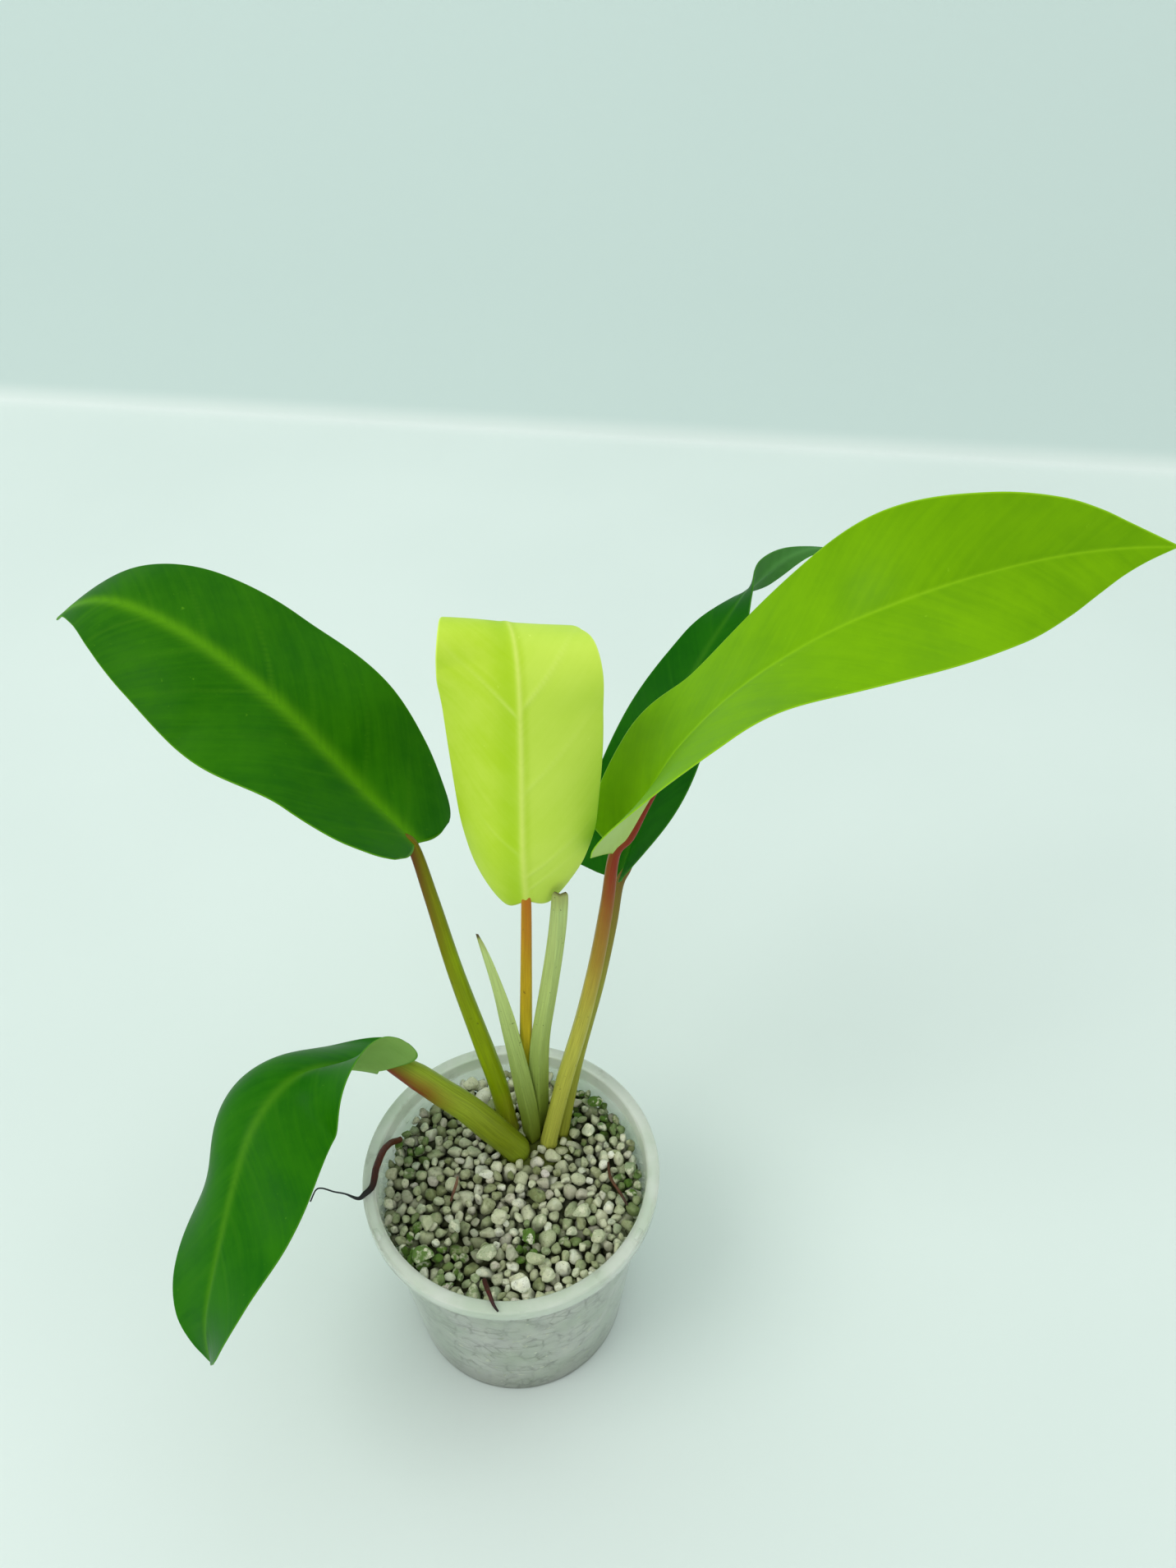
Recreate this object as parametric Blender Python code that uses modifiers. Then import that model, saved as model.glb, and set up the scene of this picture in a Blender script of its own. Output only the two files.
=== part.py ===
"""Potted philodendron: five leaves on one crown, rooted in pumice in a frosted plastic pot.

The origin is the middle of the pot's base, on the surface that the pot stands on, with +Z up.
The camera side of the plant is -Y. Plant heights are measured from the pumice surface, so the
plant rises with the pot. Each piece is one object, and touching pieces keep CLEARANCE apart.
"""
import math
import random

import bmesh
import bpy
import numpy as np
from mathutils import Matrix, Vector
from mathutils.bvhtree import BVHTree

MM = 0.001
CLEARANCE = 0.3 * MM
ROUND_STEPS = 48
COLLECTION = "potted_philodendron"

# Pot: a tapered cup with a flat lip, a skirt under the lip's edge and drain holes in the base.
POT_HEIGHT = 94 * MM
RIM_RADIUS = 55 * MM
LIP_WIDTH = 3.7 * MM
LIP_SKIRT = 5 * MM
LIP_EDGE = 0.6 * MM
INSIDE_EDGE = 0.5 * MM
BASE_RADIUS = 42.5 * MM
BASE_FILLET = 1.6 * MM
WALL = 1.1 * MM
FLOOR = 1.6 * MM
DRAIN_COUNT = 6
DRAIN_RADIUS = 3.5 * MM
DRAIN_RING = 27 * MM
DRAIN_SIDES = 16
PAD_COUNT = 3
PAD_LENGTH = 4.6 * MM
PAD_WIDTH = 1.5 * MM
PAD_HEIGHT = 0.35 * MM
PAD_INSET = 0.8 * MM

# Pumice: one body that fills the pot, with larger loose grains lying on it.
HEADSPACE = 9 * MM
PUMICE_LEVEL = POT_HEIGHT - HEADSPACE
SURFACE_RELIEF = 0.9 * MM
SURFACE_WAVE = 5.5 * MM
TOP_RINGS = 13
WALL_RINGS = 8
FLOOR_RINGS = 5
GRAIN_ROUGHNESS = 0.14
GRAIN_BED_RADIUS = 49 * MM

# Crown: the short stem that the petioles, sheaths and roots grow from.
CROWN_CENTRE = (7 * MM, 19 * MM)
CROWN_WIDTH = 33 * MM
CROWN_DEPTH = 27 * MM
CROWN_TOP = 3 * MM
CROWN_HEIGHT = 26 * MM
CROWN_SHOULDER = 0.35
CROWN_FLATNESS = (1.35, 1.5)
CROWN_LEVEL = PUMICE_LEVEL - CROWN_TOP
CROWN_MIDDLE = CROWN_LEVEL - CROWN_HEIGHT * CROWN_SHOULDER

# Blades: thin at the margin, with a thicker midrib that tapers to the tip. A blade's lobes
# reach back past its stalk, furthest at LOBE_CREST of the half width. An outline gives the
# share of the half width at shares of the length, from the stalk to the tip.
BLADE_EDGE = 0.7 * MM
BLADE_MIDRIB = 1.8 * MM
MIDRIB_WIDTH = 3 * MM
MIDRIB_TAPER = 0.5
MIDRIB_STEPS = 400
BLADE_ROWS = 30
BLADE_COLUMNS = 8
LOBE_REACH = 0.2
LOBE_CREST = 0.64
BLADE_OUTLINE = ((0, 0.66), (0.08, 0.84), (0.2, 0.96), (0.38, 1), (0.55, 0.97), (0.72, 0.8),
                 (0.85, 0.52), (0.93, 0.22), (0.965, 0.09), (1, 0.03))
FULL_OUTLINE = ((0, 0.66), (0.08, 0.84), (0.2, 0.96), (0.38, 1), (0.55, 0.97), (0.72, 0.82),
                (0.82, 0.62), (0.88, 0.43), (0.92, 0.28), (0.955, 0.16), (1, 0.03))
POINTED_SHEATH = ((0, 0.9), (0.25, 1), (0.6, 0.95), (0.85, 0.6), (1, 0.12))
BLUNT_SHEATH = ((0, 0.9), (0.25, 1), (0.6, 0.95), (0.92, 0.8), (1, 0.5))
SHEATH_THICKNESS = 0.8 * MM
SHEATH_ROWS = 18
SHEATH_COLUMNS = 4

# Each leaf: where its midrib starts, then angles in degrees at stations along the midrib.
# Pitch is the midrib's climb, heading its compass from +X, roll its turn about itself.
# A fold lifts that half of the blade at the midrib, and a curl bends it on to its margin.
LEAVES = {
    "upper_left": dict(
        start=(-31, 55, 123), length=166, width=69, lobe=3, fullness=0.8,
        stations=(0, 0.25, 0.5, 0.75, 0.92, 1),
        pitch=(30, 45, 30, 5, -30, -45), heading=(145, 155, 155, 155, 160, 155),
        roll=(15, -5, -10, -15, -10, 0),
        fold_left=(20, 15, -5, -5, -5, 0), fold_right=(0, 15, 5, 5, 0, -5),
        curl_left=(5, 10, -20, -20, -15, -5), curl_right=(-10, -10, -20, -15, -10, -10),
        outline=BLADE_OUTLINE, colour=(0.024, 0.155, 0.004)),
    "centre": dict(
        start=(8, 31, 121), length=138, width=52, lobe=8, fullness=1.1,
        stations=(0, 0.25, 0.5, 0.64, 0.72, 0.82, 1),
        pitch=(105, 80, 75, 45, 0, -60, -100), heading=(90, 85, 90, 100, 105, 110, 120),
        roll=(5, 5, 5, 0, 5, 5, 0),
        fold_left=(-5, -5, -5, 0, 10, 12, 5), fold_right=(-10, -5, -5, 0, -5, -10, -10),
        curl_left=(-65, -50, -40, -25, -15, 0, 5), curl_right=(-30, -30, -15, 0, 0, 0, 0),
        outline=BLADE_OUTLINE, colour=(0.46, 0.66, 0.05)),
    "right_front": dict(
        start=(37, 41, 133), length=202, width=56, lobe=0, fullness=1.2,
        stations=(0, 0.14, 0.3, 0.5, 0.75, 1),
        pitch=(60, 65, 40, 30, 15, 5), heading=(25, 15, 20, 5, 5, -10),
        roll=(-15, -5, -15, 10, 50, 80),
        fold_left=(25, 10, 0, 5, 20, 5), fold_right=(55, 35, 10, 5, 15, 5),
        curl_left=(0, 5, 0, 0, 5, -5), curl_right=(-5, 0, 0, 5, 0, -10),
        outline=FULL_OUTLINE, colour=(0.17, 0.4, 0.002)),
    "right_back": dict(
        start=(40, 70.5, 88.5), length=171, width=48, lobe=0, fullness=0.3,
        stations=(0, 0.3, 0.55, 0.68, 0.76, 0.84, 1),
        pitch=(45, 50, 35, 30, 20, 0, -30), heading=(65, 60, 50, 45, 35, 35, 25),
        roll=(-45, -15, -10, -45, -100, -135, -200),
        fold_left=(20, 15, 0, 5, 5, 0, 0), fold_right=(30, 10, -5, 0, 5, 5, 10),
        curl_left=(0, 0, 0, 0, 0, 0, 0), curl_right=(0, 0, 0, 0, 0, 0, 0),
        outline=BLADE_OUTLINE, colour=(0.013, 0.125, 0.004)),
    "lower_left": dict(
        start=(-45, 9, 57), length=134, width=53, lobe=12, fullness=1.2,
        stations=(0, 0.12, 0.28, 0.5, 0.75, 1),
        pitch=(15, 20, -5, -35, -45, -90), heading=(175, 200, 235, 255, 255, 270),
        roll=(30, 15, -10, 10, 25, 25),
        fold_left=(95, 45, 5, -5, 5, 30), fold_right=(45, 5, -5, -5, 5, -5),
        curl_left=(-25, -20, -25, -15, 5, 30), curl_right=(-25, -45, -65, -60, -20, 30),
        outline=BLADE_OUTLINE, colour=(0.018, 0.15, 0.003)),
}

# Each petiole: points from its base to its blade, in mm from the pumice surface, and the
# radius at each point. It stands upright on the crown for the length of PETIOLE_FOOT.
PETIOLE_FOOT = 3 * MM
PETIOLE_STEPS = 14
PETIOLES = {
    "upper_left": dict(
        points=((-2.5, 23), (-6, 28, 20), (-10.5, 32.5, 37), (-19.5, 41, 71), (-26.5, 49, 102),
                (-31.5, 54.5, 121.5)),
        radii=(3.3, 3.6, 3.6, 3, 2.5, 2.1), colour=(0.2, 0.21, 0.005)),
    "centre": dict(
        points=((5, 27), (5, 27.5, 20), (5.5, 28, 45), (7, 30, 88), (8, 31.5, 118.5)),
        radii=(2.3, 2.4, 2.4, 2, 1.7), colour=(0.37, 0.28, 0.02)),
    "right_front": dict(
        points=((13.5, 17.5), (19.5, 23, 31), (26, 28, 59), (31, 33, 85), (34.5, 37, 110),
                (37, 40.5, 132)),
        radii=(3, 3.2, 3, 2.8, 2.5, 2), colour=(0.37, 0.3, 0.06)),
    "right_back": dict(
        points=((18.5, 22.5), (24, 34, 28), (32, 49, 55), (37, 60.5, 75), (39.8, 69.6, 87.2)),
        radii=(2.6, 2.7, 2.5, 2.2, 1.9), colour=(0.22, 0.2, 0.02)),
    "lower_left": dict(
        points=((0, 13.5), (-9, 14, 14), (-17.5, 14.5, 26), (-25, 14.5, 35), (-33, 14.7, 44.5),
                (-42.5, 16.2, 52)),
        radii=(4.8, 5.6, 5.2, 5, 4.7, 3.2), colour=(0.2, 0.27, 0.02)),
}

# Each sheath: a narrow leaf scale, given as a leaf is.
SHEATHS = {
    "left": dict(
        start=(6.8, 16.6, -2.5), length=107, width=9, lobe=0, fullness=1,
        stations=(0, 0.25, 0.5, 0.75, 1),
        pitch=(88, 80, 77, 74, 73), heading=(137, 137, 138, 133, 138),
        roll=(133, 130, 120, 110, 105),
        fold_left=(35, 35, 40, 40, 35), fold_right=(35, 35, 40, 40, 35),
        curl_left=(0, 0, 0, 0, 0), curl_right=(0, 0, 0, 0, 0),
        outline=POINTED_SHEATH),
    "right": dict(
        start=(9.6, 20.8, -2.5), length=127, width=9, lobe=0, fullness=1,
        stations=(0, 0.3, 0.5, 0.75, 1),
        pitch=(90, 86, 77, 82, 88), heading=(60, 58, 48, 38, 30),
        roll=(-150, -145, -130, -120, -120),
        fold_left=(35, 35, 40, 40, 35), fold_right=(35, 35, 40, 40, 35),
        curl_left=(0, 0, 0, 0, 0), curl_right=(0, 0, 0, 0, 0),
        outline=BLUNT_SHEATH),
}

# Roots that leave the crown for the wall and follow it: compass from +X in degrees, height in
# mm from the pumice surface, and how far out, from 0 at the crown to 1 at the wall.
WALL_ROOT_RADIUS = 1.1 * MM
ROUTE_STEPS = 24
WALL_ROOTS = {
    "front": ((-112, -16, 0), (-114, -12, 0.6), (-106, -11, 1), (-96, -8, 1), (-86, -9, 1),
              (-75, -7, 1), (-60, -13, 1), (-45, -20, 1)),
    "left": ((-165, -18, 0), (-160, -32, 0.6), (-145, -49, 1), (-125, -54, 1),
             (-110, -48, 1), (-98, -39, 1), (-90, -34, 1)),
    "right": ((-15, -14, 0), (-12, -11, 0.6), (-22, -10, 1), (-32, -15, 1), (-42, -23, 1),
              (-50, -28, 1)),
    "low": ((150, -20, 0), (165, -48, 0.6), (185, -63, 1), (205, -73, 1), (225, -78, 1),
            (243, -79, 1)),
}

# Roots above the pumice: compass, distance beyond the rim's edge and height, in mm. Heights
# are from the pumice surface for the points on it, and from the rim for those that cross it.
SURFACE_ROOTS = {
    "root_over_rim": dict(
        on_pumice=((161, -8.5, 2.6),),
        at_rim=((167, -7, -2), (174, -6.2, 1.2), (182, -5.2, 2.2), (190, -4, 2), (193, -1, 1.9),
                (194, 1.6, 1.4), (191, 6, 1), (189, 10.3, 0), (187, 14.5, -0.7),
                (187, 17, -1.4), (190, 19, -2.2)),
        radii=(1.2, 1.3, 1.3, 1.3, 1.25, 1.1, 0.7, 0.35, 0.32, 0.3, 0.3, 0.28), count=32),
    "root_front": dict(
        on_pumice=((-101, -13.8, 3),),
        at_rim=((-98, -9.5, -2.4), (-96, -6, 1.3), (-94, -2.7, 1.6), (-92, -0.4, 1.2)),
        radii=(0.9, 0.9, 0.85, 0.6, 0.35), count=14),
    "rootlet_right": dict(
        on_pumice=((9, -18.5, 2), (0, -18.5, 3.2), (-5, -17, 3.2), (-10, -14, 2.6),
                   (-15, -10.6, 2)),
        at_rim=(), radii=(0.45, 0.6, 0.6, 0.6, 0.45), count=12),
    "rootlet_left": dict(
        on_pumice=((181, -34.4, 2), (190, -34, 3), (197, -32.7, 3), (204, -30.6, 2)),
        at_rim=(), radii=(0.4, 0.6, 0.6, 0.4), count=9),
}

# Loose pumice grains: the place of each in mm on a bed of GRAIN_BED_RADIUS, then its length,
# width and height in mm and its turn in degrees.
GRAINS = (
    (31, 32, 6.5, 5.5, 5, 20), (-18.5, 41, 6.5, 5.5, 4.5, 70), (-10, 1, 5.5, 4, 3.5, 10),
    (-4, -16, 6, 5.5, 4.5, 0), (-8, -30, 8, 6.5, 5, 35), (7, -24, 6, 5, 4, 150),
    (10, -32, 7.5, 4.5, 4, 165), (1, -30, 7, 4.5, 4, 120), (44.5, 3, 5.5, 5, 4, 90),
    (32, -24, 6, 5, 4, 40), (-30, -31, 8, 6, 5, 15), (-30, -19, 6, 5, 5, 80),
    (-20, -20, 6, 4.5, 4.5, 130), (5, -42, 7, 5.5, 4.5, 0), (15, -38, 6.5, 5, 4, 60),
    (26, -14, 7, 5, 4, 25), (28.5, 19, 6.5, 5, 5, 100),
)


def smooth_through(stations, values, at):
    """Read a curve through the values at the stations that never overshoots between them."""
    x = np.asarray(stations, float)
    y = np.asarray(values, float)
    at = np.clip(np.asarray(at, float), x[0], x[-1])
    step = np.diff(x)
    rise = np.diff(y) / step
    slope = np.zeros(len(x))
    for i in range(1, len(x) - 1):
        if rise[i - 1] * rise[i] > 0:
            before = 2 * step[i] + step[i - 1]
            after = step[i] + 2 * step[i - 1]
            slope[i] = (before + after) / (before / rise[i - 1] + after / rise[i])
    slope[0] = rise[0]
    slope[-1] = rise[-1]
    k = np.clip(np.searchsorted(x, at, side="right") - 1, 0, len(x) - 2)
    s = (at - x[k]) / step[k]
    start = (1 + 2 * s) * (1 - s) ** 2 * y[k] + s * (1 - s) ** 2 * step[k] * slope[k]
    end = s ** 2 * (3 - 2 * s) * y[k + 1] + s ** 2 * (s - 1) * step[k] * slope[k + 1]
    return start + end


def smooth_route(points, radii, count):
    """Spread count points evenly along a smooth curve through the route's own points."""
    points = [Vector(p) for p in points]
    before = [2 * points[0] - points[1]] + points[:-1]
    after = points[1:] + [2 * points[-1] - points[-2]]
    fine = []
    fine_radii = []
    for i in range(len(points) - 1):
        start_pull = (points[i + 1] - before[i]) / 2
        end_pull = (after[i + 1] - points[i]) / 2
        for s in np.linspace(0, 1, ROUTE_STEPS, endpoint=i == len(points) - 2):
            fine.append((1 + 2 * s) * (1 - s) ** 2 * points[i] + s * (1 - s) ** 2 * start_pull
                        + s * s * (3 - 2 * s) * points[i + 1] + s * s * (s - 1) * end_pull)
            fine_radii.append(radii[i] + (radii[i + 1] - radii[i]) * s)
    fine = np.array([tuple(p) for p in fine])
    run = np.concatenate([[0], np.cumsum(np.linalg.norm(np.diff(fine, axis=0), axis=1))])
    even = np.linspace(0, run[-1], count)
    route = np.stack([np.interp(even, run, fine[:, axis]) for axis in range(3)], axis=1)
    return route, np.interp(even, run, fine_radii)


def material(name, colour, roughness, transmission=0.0):
    made = bpy.data.materials.new(name)
    made.use_nodes = True
    shader = made.node_tree.nodes["Principled BSDF"]
    shader.inputs["Base Color"].default_value = (*colour, 1)
    shader.inputs["Roughness"].default_value = roughness
    shader.inputs["Metallic"].default_value = 0
    shader.inputs["Transmission Weight"].default_value = transmission
    made.diffuse_color = (*colour, 1)
    return made


def add_object(name, data, collection, look):
    made = bpy.data.objects.new(name, data)
    collection.objects.link(made)
    if look:
        data.materials.append(look)
    return made


def mesh_object(name, bm, collection, look=None, smooth=True):
    """Turn a bmesh into an object, shaded smooth with its sharp edges kept."""
    mesh = bpy.data.meshes.new(name)
    bmesh.ops.recalc_face_normals(bm, faces=bm.faces)
    bm.to_mesh(mesh)
    bm.free()
    if smooth:
        mesh.shade_smooth()
        mesh.set_sharp_from_angle(angle=math.radians(40))
    return add_object(name, mesh, collection, look)


def tube(name, route, radii, collection, look=None, sides_level=2):
    """A round rod along a route: a poly curve with a bevel, filled caps and a radius a point."""
    curve = bpy.data.curves.new(name, "CURVE")
    curve.dimensions = "3D"
    curve.bevel_depth = 1
    curve.bevel_resolution = sides_level
    curve.use_fill_caps = True
    spline = curve.splines.new("POLY")
    spline.points.add(len(route) - 1)
    for point, place, radius in zip(spline.points, route, radii):
        point.co = (*place, 1)
        point.radius = radius
    return add_object(name, curve, collection, look)


def as_mesh(curve_object):
    """Make a curve a closed mesh, with its caps welded, so that it can cut or be cut."""
    depsgraph = bpy.context.evaluated_depsgraph_get()
    mesh = bpy.data.meshes.new_from_object(curve_object.evaluated_get(depsgraph))
    bm = bmesh.new()
    bm.from_mesh(mesh)
    bmesh.ops.remove_doubles(bm, verts=bm.verts, dist=0.01 * MM)
    bmesh.ops.recalc_face_normals(bm, faces=bm.faces)
    bm.to_mesh(mesh)
    bm.free()
    made = bpy.data.objects.new(curve_object.name, mesh)
    made.matrix_world = curve_object.matrix_world
    for owner in curve_object.users_collection:
        owner.objects.link(made)
    name = curve_object.name
    bpy.data.objects.remove(curve_object)
    made.name = name
    return made


def hide_cutter(cutter):
    cutter.hide_render = True
    cutter.display_type = "WIRE"
    return cutter


def boolean(target, cutter, operation):
    step = target.modifiers.new(f"{operation.lower()}_{cutter.name}", "BOOLEAN")
    step.operation = operation
    step.solver = "EXACT"
    step.object = cutter


def body_radius(height):
    """The pot wall's outer radius at a height above the base."""
    top = RIM_RADIUS - LIP_WIDTH
    return BASE_RADIUS + (top - BASE_RADIUS) * height / POT_HEIGHT


def inner_radius(height):
    return body_radius(height) - WALL


def surface_height(x, y):
    """The pumice surface: gentle heaps and hollows about its level."""
    wave = 2 * math.pi / SURFACE_WAVE
    heap = math.sin(wave * x + 0.6 * math.sin(wave * y / 2.3)) * math.sin(wave * y + 0.7)
    return PUMICE_LEVEL + SURFACE_RELIEF * heap


def corner(centre, radius, start, end, steps=3):
    """Points on a round corner, from one angle to another in degrees."""
    return [(centre[0] + radius * math.cos(math.radians(start + (end - start) * k / steps)),
             centre[1] + radius * math.sin(math.radians(start + (end - start) * k / steps)))
            for k in range(steps + 1)]


def pot_profile():
    """The cut through the pot, from the middle of its floor up the inside and down the outside."""
    skirt_inner = RIM_RADIUS - WALL
    lip_under = POT_HEIGHT - WALL
    profile = [(0, FLOOR), (inner_radius(FLOOR) - BASE_FILLET, FLOOR)]
    profile += [(inner_radius(FLOOR + BASE_FILLET), FLOOR + BASE_FILLET)]
    profile += corner((inner_radius(POT_HEIGHT) + INSIDE_EDGE, POT_HEIGHT - INSIDE_EDGE),
                      INSIDE_EDGE, 180, 90, 2)
    profile += corner((RIM_RADIUS - LIP_EDGE, POT_HEIGHT - LIP_EDGE), LIP_EDGE, 90, 0)
    profile += [(RIM_RADIUS, POT_HEIGHT - LIP_SKIRT), (skirt_inner, POT_HEIGHT - LIP_SKIRT)]
    profile += [(skirt_inner, lip_under), (body_radius(lip_under), lip_under)]
    profile += corner((body_radius(BASE_FILLET) - BASE_FILLET, BASE_FILLET), BASE_FILLET, 0, -90)
    profile += [(0, 0)]
    return profile


def make_pot(parts, cutters):
    bm = bmesh.new()
    verts = [bm.verts.new((r, 0, z)) for r, z in pot_profile()]
    for a, b in zip(verts[:-1], verts[1:]):
        bm.edges.new((a, b))
    mesh = bpy.data.meshes.new("pot")
    bm.to_mesh(mesh)
    bm.free()
    pot = add_object("pot", mesh, parts, material("frosted_pot", (0.78, 0.84, 0.8), 0.35, 0.7))
    turn = pot.modifiers.new("turn", "SCREW")
    turn.steps = ROUND_STEPS
    turn.render_steps = ROUND_STEPS
    turn.use_merge_vertices = True
    turn.merge_threshold = 0.01 * MM
    turn.use_smooth_shade = True

    pads = bmesh.new()
    drains = bmesh.new()
    for k in range(PAD_COUNT):
        angle = math.radians(90) + 2 * math.pi * k / PAD_COUNT
        reach = RIM_RADIUS - PAD_INSET - PAD_WIDTH / 2
        cube = bmesh.ops.create_cube(pads, size=1)["verts"]
        bmesh.ops.scale(pads, verts=cube, vec=(PAD_WIDTH, PAD_LENGTH, 2 * PAD_HEIGHT))
        bmesh.ops.rotate(pads, verts=cube, matrix=Matrix.Rotation(angle, 3, "Z"))
        place = (reach * math.cos(angle), reach * math.sin(angle), POT_HEIGHT)
        bmesh.ops.translate(pads, verts=cube, vec=place)
    for k in range(DRAIN_COUNT):
        angle = 2 * math.pi * (k + 0.5) / DRAIN_COUNT
        place = (DRAIN_RING * math.cos(angle), DRAIN_RING * math.sin(angle), FLOOR / 2)
        hole = bmesh.ops.create_cone(drains, cap_ends=True, segments=DRAIN_SIDES,
                                     radius1=DRAIN_RADIUS, radius2=DRAIN_RADIUS,
                                     depth=3 * FLOOR)["verts"]
        bmesh.ops.translate(drains, verts=hole, vec=place)
    boolean(pot, hide_cutter(mesh_object("lip_pads", pads, cutters)), "UNION")
    boolean(pot, hide_cutter(mesh_object("drain_holes", drains, cutters)), "DIFFERENCE")
    return pot


def make_pumice(parts):
    """The bed of pumice: a ball whose rings are spread over the top, the wall and the floor."""
    bottom = FLOOR + CLEARANCE
    edge_top = PUMICE_LEVEL - SURFACE_RELIEF
    edge_bottom = bottom + BASE_FILLET
    top_radius = inner_radius(PUMICE_LEVEL) - CLEARANCE
    floor_radius = inner_radius(edge_bottom) - CLEARANCE - BASE_FILLET
    rings = TOP_RINGS + WALL_RINGS + FLOOR_RINGS
    bm = bmesh.new()
    bmesh.ops.create_uvsphere(bm, u_segments=ROUND_STEPS, v_segments=rings, radius=1)
    for vert in bm.verts:
        ring = round(math.acos(max(-1, min(1, vert.co.z))) / math.pi * rings)
        angle = math.atan2(vert.co.y, vert.co.x)
        if ring < TOP_RINGS:
            reach = top_radius * ring / TOP_RINGS
            z = surface_height(reach * math.cos(angle), reach * math.sin(angle))
        elif ring <= TOP_RINGS + WALL_RINGS:
            z = edge_top + (edge_bottom - edge_top) * (ring - TOP_RINGS) / WALL_RINGS
            reach = inner_radius(z) - CLEARANCE
        else:
            z = bottom
            reach = floor_radius * (rings - ring) / (FLOOR_RINGS - 1)
        vert.co = (reach * math.cos(angle), reach * math.sin(angle), z)
    return mesh_object("pumice_fill", bm, parts, material("pumice", (0.62, 0.64, 0.55), 0.95))


def crown_shape(name, collection, grow, top, look=None):
    """The crown's rounded stump; grown and with a high top, it is the hole that the crown fills."""
    bm = bmesh.new()
    bmesh.ops.create_uvsphere(bm, u_segments=24, v_segments=12, radius=1)
    widen, lift = CROWN_FLATNESS
    for vert in bm.verts:
        x, y, z = vert.co
        side = math.hypot(x, y)
        if z > 0 and side > 0:
            spread = min(1, side * widen) / side
            x *= spread
            y *= spread
        if z > 0:
            z = CROWN_MIDDLE + min(1, z * lift) * (top - CROWN_MIDDLE)
        else:
            z = CROWN_MIDDLE + z * (CROWN_HEIGHT * (1 - CROWN_SHOULDER) + grow)
        vert.co = (CROWN_CENTRE[0] + x * (CROWN_WIDTH / 2 + grow),
                   CROWN_CENTRE[1] + y * (CROWN_DEPTH / 2 + grow), z)
    return mesh_object(name, bm, collection, look)


def plant_point(point):
    """A point given in mm from the pumice surface, in the pot's frame."""
    return Vector((point[0] * MM, point[1] * MM, PUMICE_LEVEL + point[2] * MM))


def leaf_surface(leaf, rows, columns):
    """The leaf's middle surface as a grid of points, with each point's distance off the midrib."""
    length = leaf["length"] * MM
    half_width = leaf["width"] * MM / 2
    stations = leaf["stations"]
    fine = np.linspace(0, 1, MIDRIB_STEPS + 1)

    def angle(name, at):
        return np.radians(smooth_through(stations, leaf[name], at))

    pitch = angle("pitch", fine)
    heading = angle("heading", fine)
    roll = angle("roll", fine)
    along = np.stack([np.cos(pitch) * np.cos(heading), np.cos(pitch) * np.sin(heading),
                      np.sin(pitch)], axis=1)
    level_side = np.stack([-np.sin(heading), np.cos(heading), 0 * heading], axis=1)
    level_up = np.cross(along, level_side)
    side = level_side * np.cos(roll)[:, None] + level_up * np.sin(roll)[:, None]
    up = level_up * np.cos(roll)[:, None] - level_side * np.sin(roll)[:, None]
    steps = (along[1:] + along[:-1]) / 2 * length / MIDRIB_STEPS
    midrib = np.vstack([[0, 0, 0], np.cumsum(steps, axis=0)]) + np.array(plant_point(leaf["start"]))
    marks = np.arange(MIDRIB_STEPS + 1)

    t = np.linspace(0, 1, rows + 1)
    widths = half_width * smooth_through(*zip(*leaf["outline"]), t ** leaf["fullness"])
    points = np.zeros((rows + 1, columns + 1, 3))
    offsets = np.zeros((rows + 1, columns + 1))
    for j, v in enumerate(np.linspace(-1, 1, columns + 1)):
        hand = "left" if v >= 0 else "right"
        fold = angle(f"fold_{hand}", t)
        curl = angle(f"curl_{hand}", t)
        curl = np.where(abs(curl) < 1e-4, 1e-4, curl)
        out = widths * (np.sin(fold + curl * abs(v)) - np.sin(fold)) / curl * np.sign(v)
        lift = widths * (np.cos(fold) - np.cos(fold + curl * abs(v))) / curl
        back = leaf["lobe"] * MM * math.sin(math.pi / 2 * abs(v) / LOBE_CREST)
        run = t * length - back * np.clip(1 - t / LOBE_REACH, 0, 1) ** 2
        k = np.clip(run / length, 0, 1) * MIDRIB_STEPS
        for axis in range(3):
            centre = np.interp(k, marks, midrib[:, axis]) + along[0, axis] * np.minimum(run, 0)
            sideways = np.interp(k, marks, side[:, axis])
            upward = np.interp(k, marks, up[:, axis])
            points[:, j, axis] = centre + sideways * out + upward * lift
        offsets[:, j] = widths * abs(v)
    return points, offsets


def make_leaf(name, leaf, rows, columns, edge, midrib, parts, look):
    """A flat grid moved on to the leaf's surface, made thick, and thicker along the midrib."""
    points, offsets = leaf_surface(leaf, rows, columns)
    bm = bmesh.new()
    bmesh.ops.create_grid(bm, x_segments=rows, y_segments=columns, size=0.5)
    thickness = {}
    for vert in bm.verts:
        i = round((vert.co.x + 0.5) * rows)
        j = round((vert.co.y + 0.5) * columns)
        vert.co = points[i, j]
        taper = 1 - MIDRIB_TAPER * i / rows
        rib = math.exp(-(offsets[i, j] / MIDRIB_WIDTH) ** 2) * (midrib * taper - edge)
        thickness[vert.index] = (edge + max(0, rib)) / max(edge, midrib)
    mesh = bpy.data.meshes.new(name)
    bm.to_mesh(mesh)
    bm.free()
    mesh.shade_smooth()
    made = add_object(name, mesh, parts, look)
    group = made.vertex_groups.new(name="thickness")
    for index, share in thickness.items():
        group.add([index], share, "REPLACE")
    shell = made.modifiers.new("thickness", "SOLIDIFY")
    shell.thickness = max(edge, midrib)
    shell.offset = 0
    shell.vertex_group = "thickness"
    return made


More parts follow.
